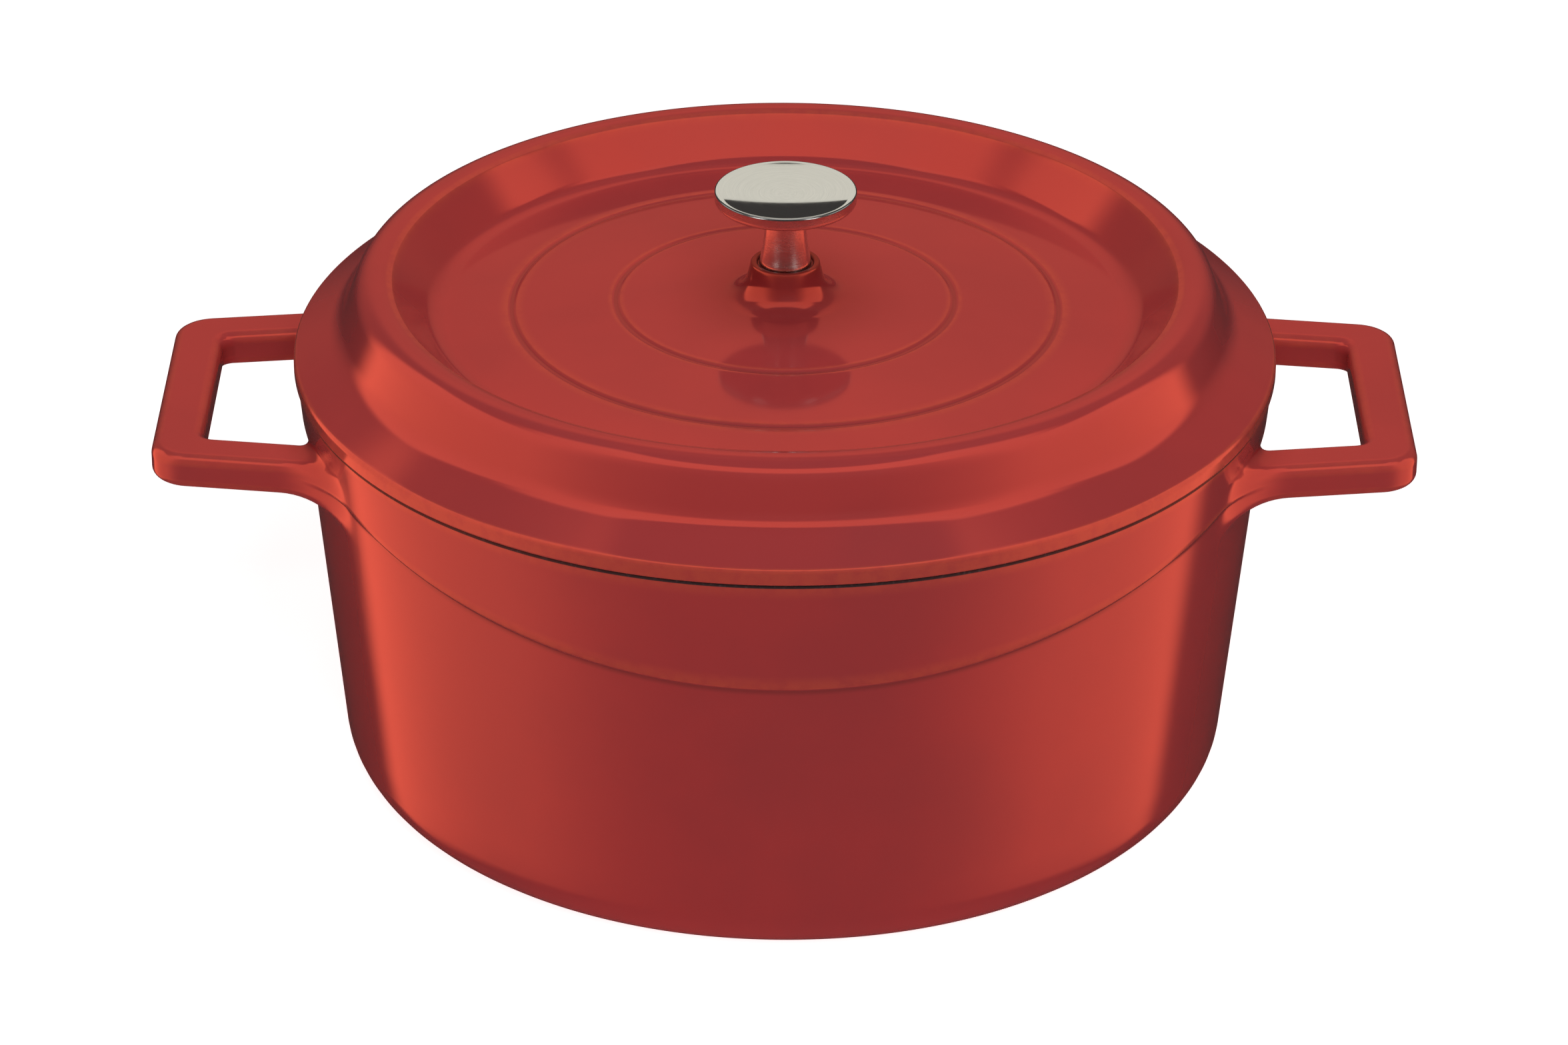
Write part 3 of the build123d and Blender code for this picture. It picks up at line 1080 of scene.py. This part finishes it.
    def add_arms(self, skin: Skin, rings: list[list[int]], rails: np.ndarray, end: int) -> None:
        """Skins both arms of one handle, which meet in the bar's middle.

        Args:
            skin: The pot's skin.
            rings: The vertices round the roots of the two arms, at +Y and at -Y.
            rails: The rails of the arm at +X and +Y.
            end: 1 for the handle at +X, or -1.
        """
        middle_ring: list[int] = []
        for hand, ring_before in zip((1, -1), rings):
            flip = np.array([end, hand, 1.0])
            for points in rails[:-1]:
                ring_before = self.add_sleeve(skin, ring_before, skin.add_ring(points * flip), end * hand)
            middle_ring = middle_ring or skin.add_ring(rails[-1] * flip)
            self.add_sleeve(skin, ring_before, middle_ring, end * hand)

    def add_sleeve(self, skin: Skin, before: list[int], now: list[int], side: int) -> list[int]:
        """Joins two rings of vertices with faces.

        Args:
            skin: The pot's skin.
            before: The first ring.
            now: The next ring.
            side: 1 where the faces keep their direction, or -1 on a mirrored arm.

        Returns:
            The next ring.
        """
        for here in range(len(now)):
            there = (here + 1) % len(now)
            skin.add_face([before[here], before[there], now[there], now[here]][::side])
        return now

    def build(self, finishes: Finishes) -> bpy.types.Object:
        """Makes the pot as one closed skin.

        Args:
            finishes: The oven's finishes.

        Returns:
            The pot.
        """
        count = self.columns
        angle = np.arange(count) * math.tau / count
        around = np.stack([np.cos(angle), np.sin(angle), np.zeros(count)], axis=-1)
        up = np.array([0.0, 0.0, 1.0])
        under = self.under_rows()
        inner = self.inner_rows()
        wall, (low, high) = self.wall_grid(angle, under[-1][1], inner[0][1])
        grid = np.array([
            *(radius * around + height * up for radius, height in under[1:]),
            *wall[:-1],
            *(radius * around + height * up for radius, height in inner[:-1]),
        ])
        first_wall = len(under) - 1
        low += first_wall
        high += first_wall
        loop = self.root_loop(low, high)
        roots = self.round_roots(grid, loop)

        skin = Skin(list(grid.reshape(-1, 3)))
        middle, inner_middle = skin.add_ring(np.array([under[0][1] * up, inner[-1][1] * up]))
        index = np.arange(len(grid) * count).reshape(len(grid), count)
        width = self.root_to - self.root_from
        half = count // 2
        starts = [self.root_from, half + self.root_from, half - self.root_to, count - self.root_to]
        open_columns = {(start + step) % count for start in starts for step in range(width)}
        dark_from = first_wall + len(wall)
        for row, (here, above) in enumerate(zip(index, index[1:])):
            for column in range(count):
                if low <= row < high and column in open_columns:
                    continue
                after = (column + 1) % count
                corners = [here[column], here[after], above[after], above[column]]
                skin.add_face(corners, row >= dark_from)
        for column in range(count):
            after = (column + 1) % count
            skin.add_face([middle, index[0, after], index[0, column]])
            skin.add_face([inner_middle, index[-1, column], index[-1, after]], True)

        rails = self.arm_rails(roots, *self.arm_section(width, high - low))
        for end in (1, -1):
            rings = []
            for hand in (1, -1):
                rings.append([index[row, self.mirrored(column, end, hand)] for row, column in loop])
            self.add_arms(skin, rings, rails, end)
        pot = skin.finish("pot_casting", finishes)
        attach(pot, Body.POT.value)
        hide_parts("pot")
        return pot


# ---------------------------------------------------------------- lid


@dataclass
class Lid:
    """The lid's casting: edge, brim, flare, shoulder, domed floor with ring grooves, and boss."""

    pot: Pot
    overhang: float = 0.8 * MM
    wall: float = 3.5 * MM
    edge_height: float = 4.6 * MM
    edge_round: float = 1.9 * MM
    edge_foot_round: float = 0.9 * MM
    brim_width: float = 13.9 * MM
    brim_rise: float = 8.3 * MM
    brim_flare_round: float = 10.0 * MM
    flare_run: float = 7.8 * MM
    flare_rise: float = 17.6 * MM
    shoulder_round: float = 8.0 * MM
    ridge_run: float = 8.4 * MM
    ridge_drop: float = 3.1 * MM
    ridge_round: float = 0.6 * MM
    slope_run: float = 12.3 * MM
    slope_drop: float = 12.85 * MM
    slope_round: float = 7.0 * MM
    hollow_round: float = 3.0 * MM
    dome_radius: float = 950.0 * MM
    groove_inset: float = 23.4 * MM
    groove_spacing: float = 31.3 * MM
    groove_count: int = 2
    groove_half: float = 1.8 * MM
    groove_depth: float = 0.6 * MM
    groove_clear: float = 1.4  # how far the dome's own points keep away, in half widths
    groove_steps: int = 11
    dome_steps: int = 24
    seat_clearance: float = 2.7 * MM
    seat_run: float = 2.0 * MM  # the seat's first run, from its edge to the locating ring
    ring_depth: float = 5.0 * MM
    ring_width: float = 5.0 * MM
    ring_round: float = 1.5 * MM
    ring_foot_round: float = 0.6 * MM

    boss_radius: float = 10.3 * MM
    boss_rise: float = 10.8 * MM
    boss_spread: float = 2.6 * MM
    boss_foot_round: float = 8.5 * MM
    lip_width: float = 1.9 * MM
    lip_height: float = 1.0 * MM
    lip_round: float = 0.8 * MM
    boss_top: float = 5.0 * MM
    pocket_radius: float = 7.2 * MM
    pocket_mouth_round: float = 4.0 * MM
    pocket_round: float = 0.3 * MM
    hole_radius: float = 3.3 * MM
    hole_round: float = 0.15 * MM
    seat_round: float = 0.25 * MM
    copies: int = 288
    black_lead: int = 3  # how many points before the outline's underside the black enamel starts

    bump_pitch: float = 12.5 * MM
    bump_first_ring: int = 3
    bump_last_ring: int = 7
    bump_radius: float = 3.3 * MM
    bump_height: float = 1.5 * MM
    bump_sunk: float = 0.5 * MM
    bump_sides: int = 12
    bump_levels: tuple[Point, ...] = ((0.93, 0.12), (0.72, 0.55), (0.38, 0.9))  # shares of radius and height

    @property
    def radius(self) -> float:
        """Radius of the lid's edge."""
        return self.pot.rim_radius + self.overhang

    @property
    def outer_line(self) -> list[Point]:
        """Finds the corners of the top.

        Returns:
            Radius and height of the corners, from the dome's end out to the edge.
        """
        foot = (self.radius - self.brim_width, self.pot.rim_height + self.edge_height + self.brim_rise)
        shoulder = (foot[0] - self.flare_run, foot[1] + self.flare_rise)
        ridge = (shoulder[0] - self.ridge_run, shoulder[1] - self.ridge_drop)
        floor_edge = (ridge[0] - self.slope_run, ridge[1] - self.slope_drop)
        start = floor_edge[0] - self.slope_round
        edge = (self.radius, self.pot.rim_height + self.edge_height)
        return [(start, self.floor(start)), floor_edge, ridge, shoulder, foot, edge]

    @cached_property
    def dome_centre(self) -> float:
        """Finds the middle of the dome's sphere.

        Returns:
            Its height.
        """
        ridge_radius = self.radius - self.brim_width - self.flare_run - self.ridge_run
        edge = ridge_radius - self.slope_run
        rise = self.edge_height + self.brim_rise + self.flare_rise - self.ridge_drop - self.slope_drop
        return self.pot.rim_height + rise - math.sqrt(self.dome_radius**2 - edge**2)

    def floor(self, radius: float) -> float:
        """Height of the domed floor at a radius."""
        return self.dome_centre + math.sqrt(self.dome_radius**2 - radius**2)

    @property
    def ring_radius(self) -> float:
        """Outside radius of the locating ring."""
        return self.pot.wall_radius(self.pot.rim_height) - self.pot.rim_wall - self.seat_clearance

    @property
    def seat_height(self) -> float:
        """Height of the knob's seat on the boss."""
        return self.floor(0) + self.boss_rise - self.lip_height

    @property
    def dome_start(self) -> float:
        """Radius where the boss has run out into the floor."""
        return self.boss_radius + self.boss_spread + 2 * self.boss_foot_round

    def dome(self, grooved: bool) -> list[Point]:
        """Lays out the domed floor.

        Args:
            grooved: Whether it has its ring grooves.

        Returns:
            Radius and height of its points, from the boss outwards.
        """
        end = self.outer_line[0][0]
        edge = self.outer_line[1][0]
        radii = set(np.linspace(self.dome_start, end, self.dome_steps))
        grooves = [edge - self.groove_inset - ring * self.groove_spacing for ring in range(self.groove_count)]
        if grooved:
            clear = self.groove_clear * self.groove_half
            radii = {radius for radius in radii if all(abs(radius - groove) > clear for groove in grooves)}
            for groove in grooves:
                radii |= set(groove + np.linspace(-1, 1, self.groove_steps) * self.groove_half)
        points = []
        for radius in sorted(radii):
            height = self.floor(radius)
            for groove in grooves if grooved else []:
                away = abs(radius - groove) / self.groove_half
                if away < 1:
                    height -= self.groove_depth * (0.5 + 0.5 * math.cos(math.pi * away))
            points.append((float(radius), height))
        return points

    def top_profile(self) -> list[Point]:
        """Lays out the top.

        Returns:
            Radius and height of its points, from the screw's hole out to the edge's foot.
        """
        lip = self.floor(0) + self.boss_rise
        inner_lip = self.boss_radius - self.lip_width
        spread = self.boss_radius + self.boss_spread
        boss = rounded(
            [
                (self.hole_radius, self.seat_height),
                (inner_lip, self.seat_height),
                (inner_lip, lip),
                (self.boss_radius, lip),
                (spread, self.floor(self.boss_radius)),
                (self.dome_start, self.floor(self.dome_start)),
            ],
            [self.seat_round, self.lip_round, self.lip_round, self.boss_foot_round],
        )
        rim = rounded(
            [*self.outer_line, (self.radius, self.pot.rim_height), (self.ring_radius, self.pot.rim_height)],
            [
                self.slope_round,
                self.ridge_round,
                self.shoulder_round,
                self.brim_flare_round,
                self.edge_round,
                self.edge_foot_round,
            ],
            turn=math.radians(6),
        )
        boss_line = spaced(boss, longest=4 * MM, guard=0.5 * MM)
        rim_line = spaced(rim, longest=5 * MM, guard=0.7 * MM)
        return boss_line[:-1] + self.dome(True) + rim_line[1:-1]

    def under_profile(self) -> list[Point]:
        """Lays out the underside.

        Returns:
            Radius and height of its points, from the seat in under the lid to the screw's hole.
        """
        seat = self.pot.rim_height
        inner = self.ring_radius - self.ring_width
        foot = seat - self.ring_depth
        below = inset(self.outer_line, self.wall)
        start = self.dome_start
        end = self.outer_line[0][0]
        pocket_top = self.seat_height - self.boss_top
        out = rounded(
            [
                (self.ring_radius + self.seat_run, seat),
                (self.ring_radius, seat),
                (self.ring_radius, foot),
                (inner, foot),
                (inner, below[-1][1] - self.wall),
                *reversed(below[:-1]),
                (end, self.floor(end) - self.wall),
            ],
            [
                self.ring_foot_round,
                self.ring_round,
                self.ring_round,
                self.hollow_round,
                self.hollow_round,
                0,
                self.slope_round,
            ],
        )
        under = [(radius, height - self.wall) for radius, height in reversed(self.dome(False))]
        pocket = rounded(
            [
                (start, self.floor(start) - self.wall),
                (self.pocket_radius, self.floor(self.pocket_radius) - self.wall),
                (self.pocket_radius, pocket_top),
                (self.hole_radius, pocket_top),
                (self.hole_radius, self.seat_height),
            ],
            [self.pocket_mouth_round, self.pocket_round, self.hole_round],
        )
        out_line = spaced(out, longest=6 * MM, guard=0.7 * MM)
        pocket_line = spaced(pocket, longest=6 * MM, guard=0.6 * MM)
        return out_line[:-1] + under + pocket_line[1:-1]

    def build(self, lathe: Lathe, finishes: Finishes) -> bpy.types.Object:
        """Turns the lid.

        Args:
            lathe: The tree that turns outlines.
            finishes: The oven's finishes.

        Returns:
            The lid.
        """
        top = self.top_profile()
        under = self.under_profile()
        profile = top + under
        inside = [place >= len(top) - self.black_lead for place in range(len(profile))]
        lid = lathe.turn("lid_casting", profile, inside, True, self.copies, (finishes.red, finishes.black))
        mark_curvature(lid.data)
        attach(lid, Body.LID.value)
        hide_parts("lid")
        return lid

    def build_bumps(self, rings: Rings, finishes: Finishes) -> bpy.types.Object:
        """Sets the rings of drip bumps under the lid.

        Args:
            rings: The tree that lays copies in rings.
            finishes: The oven's finishes.

        Returns:
            The bumps.
        """
        around = self.bump_sides
        levels = [(1.0, self.bump_sunk)]
        levels += [(share, -down * self.bump_height) for share, down in self.bump_levels]
        vertices = [(0.0, 0.0, self.bump_sunk), (0.0, 0.0, -self.bump_height)]
        for share, height in levels:
            for step in range(around):
                angle = math.tau * step / around
                reach = self.bump_radius * share
                vertices.append((reach * math.cos(angle), reach * math.sin(angle), height))
        faces = []
        for step in range(around):
            after = (step + 1) % around
            faces.append([0, 2 + step, 2 + after])
            for level in range(len(levels) - 1):
                low = 2 + level * around
                faces.append([low + step, low + around + step, low + around + after, low + after])
            low = 2 + (len(levels) - 1) * around
            faces.append([1, low + after, low + step])
        mesh = bpy.data.meshes.new("bump")
        mesh.from_pydata(vertices, [], faces)
        mesh.attributes.new("inside", "BOOLEAN", "FACE")
        values = {
            "First Ring": self.bump_first_ring,
            "Last Ring": self.bump_last_ring,
            "Pitch": self.bump_pitch,
            "Dome Radius": self.dome_radius,
            "Crown Height": self.floor(0) - self.wall,
            "Finish": finishes.black,
            "Inside Finish": finishes.black,
        }
        bumps = rings.run("lid_drip_bumps", new_object("bump", mesh), values)
        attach(bumps, Body.LID.value)
        return bumps


# ---------------------------------------------------------------- knob


@dataclass
class Knob:
    """The turned steel knob with its dished top and waisted neck, on the boss's seat."""

    lid: Lid
    radius: float = 21.3 * MM
    height: float = 24.3 * MM
    edge_height: float = 4.0 * MM
    edge_round: float = 1.5 * MM
    top_round: float = 0.6 * MM
    dish_depth: float = 1.1 * MM
    rim_land: float = 0.9 * MM
    underside_rise: float = 3.0 * MM
    underside_round: float = 2.0 * MM
    neck_radius: float = 6.2 * MM
    neck_drop: float = 10.0 * MM
    waist_bow: float = 0.35 * MM
    foot_radius: float = 7.9 * MM
    foot_edge: float = 0.6 * MM
    bore_radius: float = 3.05 * MM
    bore_depth: float = 14.5 * MM
    foot_round: float = 0.3 * MM
    dish_points: int = 26
    waist_steps: int = 9
    edge_points: int = 3  # points of the edge that the dish's polish takes in
    copies: int = 240

    def build(self, lathe: Lathe, finishes: Finishes) -> bpy.types.Object:
        """Turns the knob.

        Args:
            lathe: The tree that turns outlines.
            finishes: The oven's finishes.

        Returns:
            The knob.
        """
        seat = self.lid.seat_height
        top = seat + self.height
        dish = self.radius - self.rim_land
        sphere = (dish**2 + self.dish_depth**2) / (2 * self.dish_depth)
        bottom = top - self.dish_depth
        face = []
        for radius in np.linspace(0, dish, self.dish_points):
            face.append((radius, bottom + sphere - math.sqrt(sphere**2 - radius**2)))
        disc_foot = top - self.edge_height
        waist_top = top - self.neck_drop
        foot_top = seat + self.foot_edge
        side = rounded(
            [
                face[-1],
                (self.radius, top),
                (self.radius, disc_foot),
                (self.neck_radius, disc_foot - self.underside_rise),
                (self.neck_radius, waist_top),
            ],
            [self.top_round, self.edge_round, self.underside_round],
            turn=math.radians(10),
        )
        waist = []
        for share in np.linspace(0, 1, self.waist_steps + 1)[1:]:
            straight = self.neck_radius + (self.foot_radius - self.neck_radius) * share
            bow = self.waist_bow * 4 * share * (1 - share)
            waist.append((straight - bow, waist_top + (foot_top - waist_top) * share))
        foot = rounded(
            [
                waist[-1],
                (self.foot_radius, seat),
                (self.bore_radius, seat),
                (self.bore_radius, seat + self.bore_depth),
                (0.0, seat + self.bore_depth),
            ],
            [self.foot_round, 0.0, 0.0],
        )
        side_line = spaced(side, longest=2 * MM, guard=0.25 * MM)
        foot_line = spaced(foot, longest=3 * MM, guard=0.25 * MM)
        profile = face + side_line[1:] + waist + foot_line[1:]
        inside = [place >= len(face) + self.edge_points for place in range(len(profile))]
        steels = (finishes.mirror, finishes.turned)
        knob = lathe.turn("knob_turned", profile, inside, False, self.copies, steels)
        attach(knob, Body.LID.value)
        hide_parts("knob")
        return knob


def dress_fasteners(finishes: Finishes) -> None:
    """Gives the screw and its washers, which keep their CAD shapes, their steel.

    Args:
        finishes: The oven's finishes.
    """
    for name in ("knob_screw", "knob_lock_washer", "knob_washer"):
        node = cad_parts[name]
        node.data.materials.clear()
        node.data.materials.append(finishes.plain)
        log.info("%s keeps its CAD shape, with a steel finish", name)


# ---------------------------------------------------------------- studio


class Role(Enum):
    """What a studio light is for."""

    FILL = "lights the colours and isn't seen in the gloss"
    CARD = "is seen in the gloss only"


@dataclass(frozen=True)
class Softbox:
    """A flat, even light."""

    name: str
    place: tuple[float, float, float]
    aim: tuple[float, float, float]
    width: float
    height: float
    brightness: float
    role: Role
    colour: Colour = (1.0, 1.0, 1.0)

    def build(self) -> bpy.types.Object:
        """Adds the light, turned towards its aim, with its width kept level.

        Returns:
            The light.
        """
        light = bpy.data.lights.new(self.name, "AREA")
        light.shape = "RECTANGLE"
        light.size = self.width
        light.size_y = self.height
        light.color = self.colour
        light.energy = self.brightness * math.pi * self.width * self.height
        lamp = bpy.data.objects.new(self.name, light)
        bpy.context.scene.collection.objects.link(lamp)
        lamp.location = self.place
        lamp.rotation_euler = (Vector(self.aim) - Vector(self.place)).to_track_quat("-Z", "Y").to_euler()
        lamp.visible_camera = False
        lamp.visible_diffuse = self.role is Role.FILL
        lamp.visible_glossy = self.role is Role.CARD
        return lamp


@dataclass
class Drum:
    """Soft reflectors around the oven, on the inside of a drum: seen in the gloss only."""

    radius: float = 1.3
    bottom: float = -1.5
    top: float = 4.0
    columns: int = 96
    colour: Colour = (1.0, 0.13, 0.065)
    brightness: float = 5.2
    base: float = 0.06

    # where each soft edge starts and ends, and how bright it is there if that isn't 0 and 1
    # "ahead" is -1 at the back, 0 at the sides and 1 in front
    side_front: Fade = (0.98, 0.30, 0.05, 1.0)
    side_back: Fade = (-0.57, -0.41)
    side_back_lean: float = 0.09
    side_glow: Fade = (-0.90, 0.30, 0.72, 1.0)
    side_foot: Fade = (-1.45, -0.65)
    side_head: Fade = (1.65, 1.45)
    side_head_lean: float = 0.55
    high_foot: Fade = (1.45, 1.95)
    high_head: Fade = (3.95, 3.40)
    high_back: Fade = (-0.30, 0.10)
    high_right: Fade = (-0.30, 0.90, 1.15, 1.50)
    back_side: Fade = (-0.76, -0.92)
    back_foot: Fade = (0.15, 0.75)
    back_glow: Fade = (0.70, 1.30, 0.10, 0.26)
    back_head: Fade = (2.10, 1.50)
    haze: Fade = (-0.10, 0.50, 0.0, 0.10)

    def pattern(self, shader: Shader) -> Value:
        """Works out how bright the drum is.

        Args:
            shader: The drum's shader.

        Returns:
            Two tall side panels that fade out towards the front, a bar high in front and a low panel behind.
        """
        x, y, z = (shader.node("ShaderNodeSeparateXYZ", {}, {0: shader.place}, axis) for axis in "XYZ")
        ahead = y * (-1 / self.radius)
        leaning = ahead - x * (self.side_back_lean / self.radius)
        side = ahead.ramp(*self.side_front) * leaning.ramp(*self.side_back) * z.ramp(*self.side_glow)
        side = side * z.ramp(*self.side_foot) * (z - ahead * self.side_head_lean).ramp(*self.side_head)
        high = z.ramp(*self.high_foot) * z.ramp(*self.high_head)
        high = high * ahead.ramp(*self.high_back) * x.ramp(*self.high_right)
        back = ahead.ramp(*self.back_side) * z.ramp(*self.back_foot)
        back = back * z.ramp(*self.back_glow) * z.ramp(*self.back_head)
        return side + high + back + z.ramp(*self.haze)

    def build(self) -> bpy.types.Object:
        """Adds the drum.

        Returns:
            The drum.
        """
        turns = np.arange(self.columns) * (math.tau / self.columns)
        ring = [(self.radius * math.cos(turn), self.radius * math.sin(turn)) for turn in turns]
        points = [(*place, height) for height in (self.bottom, self.top) for place in ring]
        faces = []
        for column in range(self.columns):
            after = (column + 1) % self.columns
            faces.append((column, column + self.columns, after + self.columns, after))
        mesh = bpy.data.meshes.new("drum")
        mesh.from_pydata(points, [], faces)
        base = (self.base, self.base, self.base, 1.0)
        shader = Shader("drum", Base_Color=base, Emission_Strength=self.brightness, IOR=1.0)
        shader.feed("Emission Color", shader.blend(self.pattern(shader), (0, 0, 0), self.colour))
        mesh.materials.append(shader.material)
        drum = new_object("drum", mesh)
        drum.visible_camera = False
        drum.visible_diffuse = False
        drum.visible_shadow = False
        return drum


def group(name: str, pieces: list[bpy.types.Object]) -> bpy.types.Collection:
    """Puts pieces in a collection, so that lights can be linked to them.

    Args:
        name: The collection's name.
        pieces: The pieces.

    Returns:
        The collection.
    """
    collection = bpy.data.collections.new(name)
    for piece in pieces:
        collection.objects.link(piece)
    return collection


@dataclass
class Studio:
    """Camera, floor, backdrop and lights."""

    camera_distance: float = 1.8
    camera_elevation: float = math.radians(27.82)
    camera_roll: float = math.radians(0.30)
    target_height: float = 73.3 * MM
    lens: float = 134.6
    sensor: float = 36.0
    floor_size: float = 60.0
    floor_colour: Colour = (0.95, 0.95, 0.95)
    floor_glow: float = 0.88
    backdrop: Colour = (1.0, 1.0, 1.0)
    surroundings: float = 0.04

    # name, place, aim, width, height, brightness, role and colour
    top_fill: Softbox = Softbox("top_fill", (0, 0.1, 2.2), (0, 0, 0), 2.2, 2.2, 2.9, Role.FILL)
    key_fill: Softbox = Softbox("key_fill", (0.25, -1.60, 1.75), (0, 0, 0.1), 1.5, 1.5, 3.3, Role.FILL)
    knob_cards: tuple[Softbox, ...] = (
        Softbox("knob_back", (0, 1.10, 0.765), (0, 0, 0.18), 1.2, 0.325, 0.70, Role.CARD, (1.0, 0.985, 0.89)),
        Softbox("knob_left", (-0.75, -0.83, 0.45), (0, 0, 0.17), 0.35, 0.5, 2.0, Role.CARD),
        Softbox("knob_right", (0.75, -0.83, 0.45), (0, 0, 0.17), 0.35, 0.5, 2.0, Role.CARD),
        Softbox("knob_left_side", (-1.1, 0.1, 0.55), (0, 0, 0.17), 1.0, 0.45, 0.45, Role.CARD),
        Softbox("knob_right_side", (1.1, 0.1, 0.55), (0, 0, 0.17), 1.0, 0.45, 0.45, Role.CARD),
        Softbox("knob_ceiling", (0, 0.1, 1.7), (0, 0.1, 0), 1.4, 1.4, 0.50, Role.CARD),
    )

    def build(self, knob: bpy.types.Object) -> None:
        """Builds everything around the oven.

        Args:
            knob: The mirror-like piece, which has cards of its own in place of the drum.
        """
        pieces = [piece for piece in bpy.context.scene.objects if piece.type == "MESH"]
        self.add_camera()
        floor = self.add_floor()
        self.add_world()
        others = [piece for piece in pieces if piece is not knob]
        Drum().build().light_linking.receiver_collection = group("all_but_knob", [*others, floor])
        self.top_fill.build().light_linking.receiver_collection = group("oven", pieces)
        self.key_fill.build()
        knob_only = group("knob_only", [knob])
        for card in self.knob_cards:
            card.build().light_linking.receiver_collection = knob_only

    def add_camera(self) -> None:
        """Adds the camera, which looks a little down at the middle of the pot from the front."""
        data = bpy.data.cameras.new("camera")
        data.lens = self.lens
        data.sensor_width = self.sensor
        data.clip_end = 100.0
        camera = bpy.data.objects.new("camera", data)
        bpy.context.scene.collection.objects.link(camera)
        away = Vector((0, -math.cos(self.camera_elevation), math.sin(self.camera_elevation)))
        camera.location = Vector((0, 0, self.target_height)) + away * self.camera_distance
        level = (-away).to_track_quat("-Z", "Y")
        camera.rotation_mode = "QUATERNION"
        camera.rotation_quaternion = level @ Quaternion((0, 0, 1), self.camera_roll)
        bpy.context.scene.camera = camera

    def add_floor(self) -> bpy.types.Object:
        """Adds the pale floor.

        Returns:
            The floor.
        """
        half = self.floor_size / 2
        mesh = bpy.data.meshes.new("floor")
        corners = [(-half, -half, 0), (half, -half, 0), (half, half, 0), (-half, half, 0)]
        mesh.from_pydata(corners, [], [[0, 1, 2, 3]])
        shader = Shader(
            "floor", Base_Color=(*self.floor_colour, 1.0), Roughness=0.9,
            Emission_Color=(1.0, 1.0, 1.0, 1.0), Emission_Strength=self.floor_glow,
        )
        mesh.materials.append(shader.material)
        floor = new_object("floor", mesh)
        floor.visible_glossy = False
        return floor

    def add_world(self) -> None:
        """Sets a pale backdrop, which lights the oven only faintly."""
        world = bpy.data.worlds.new("world")
        world.use_nodes = True
        tree = world.node_tree
        background = tree.nodes["Background"]
        seen = add_node(tree, "ShaderNodeLightPath", {}, {}).outputs["Is Camera Ray"]
        faint = (self.surroundings, self.surroundings, self.surroundings, 1.0)
        colours = {0: seen, 6: faint, 7: (*self.backdrop, 1.0)}
        mix = add_node(tree, "ShaderNodeMix", {"data_type": "RGBA"}, colours)
        tree.links.new(mix.outputs[2], background.inputs["Color"])
        bpy.context.scene.world = world


def report(piece: bpy.types.Object) -> None:
    """Logs how many vertices and triangles a finished piece has.

    Args:
        piece: The piece.
    """
    piece.data.calc_loop_triangles()
    sizes = (len(piece.data.vertices), len(piece.data.loop_triangles))
    log.info("%s: %d vertices, %d triangles", piece.name, *sizes)


def main() -> None:
    """Builds the studio and the oven, and logs the size of each finished piece."""
    logging.basicConfig(level=logging.INFO, format="%(name)s: %(message)s")
    bpy.context.scene.view_settings.view_transform = "Standard"
    finishes = Finishes()
    lathe = Lathe()
    pot = Pot()
    lid = Lid(pot)
    report(pot.build(finishes))
    report(lid.build(lathe, finishes))
    report(lid.build_bumps(Rings(), finishes))
    knob = Knob(lid).build(lathe, finishes)
    report(knob)
    dress_fasteners(finishes)
    Studio().build(knob)


if __name__ == "__main__":
    main()
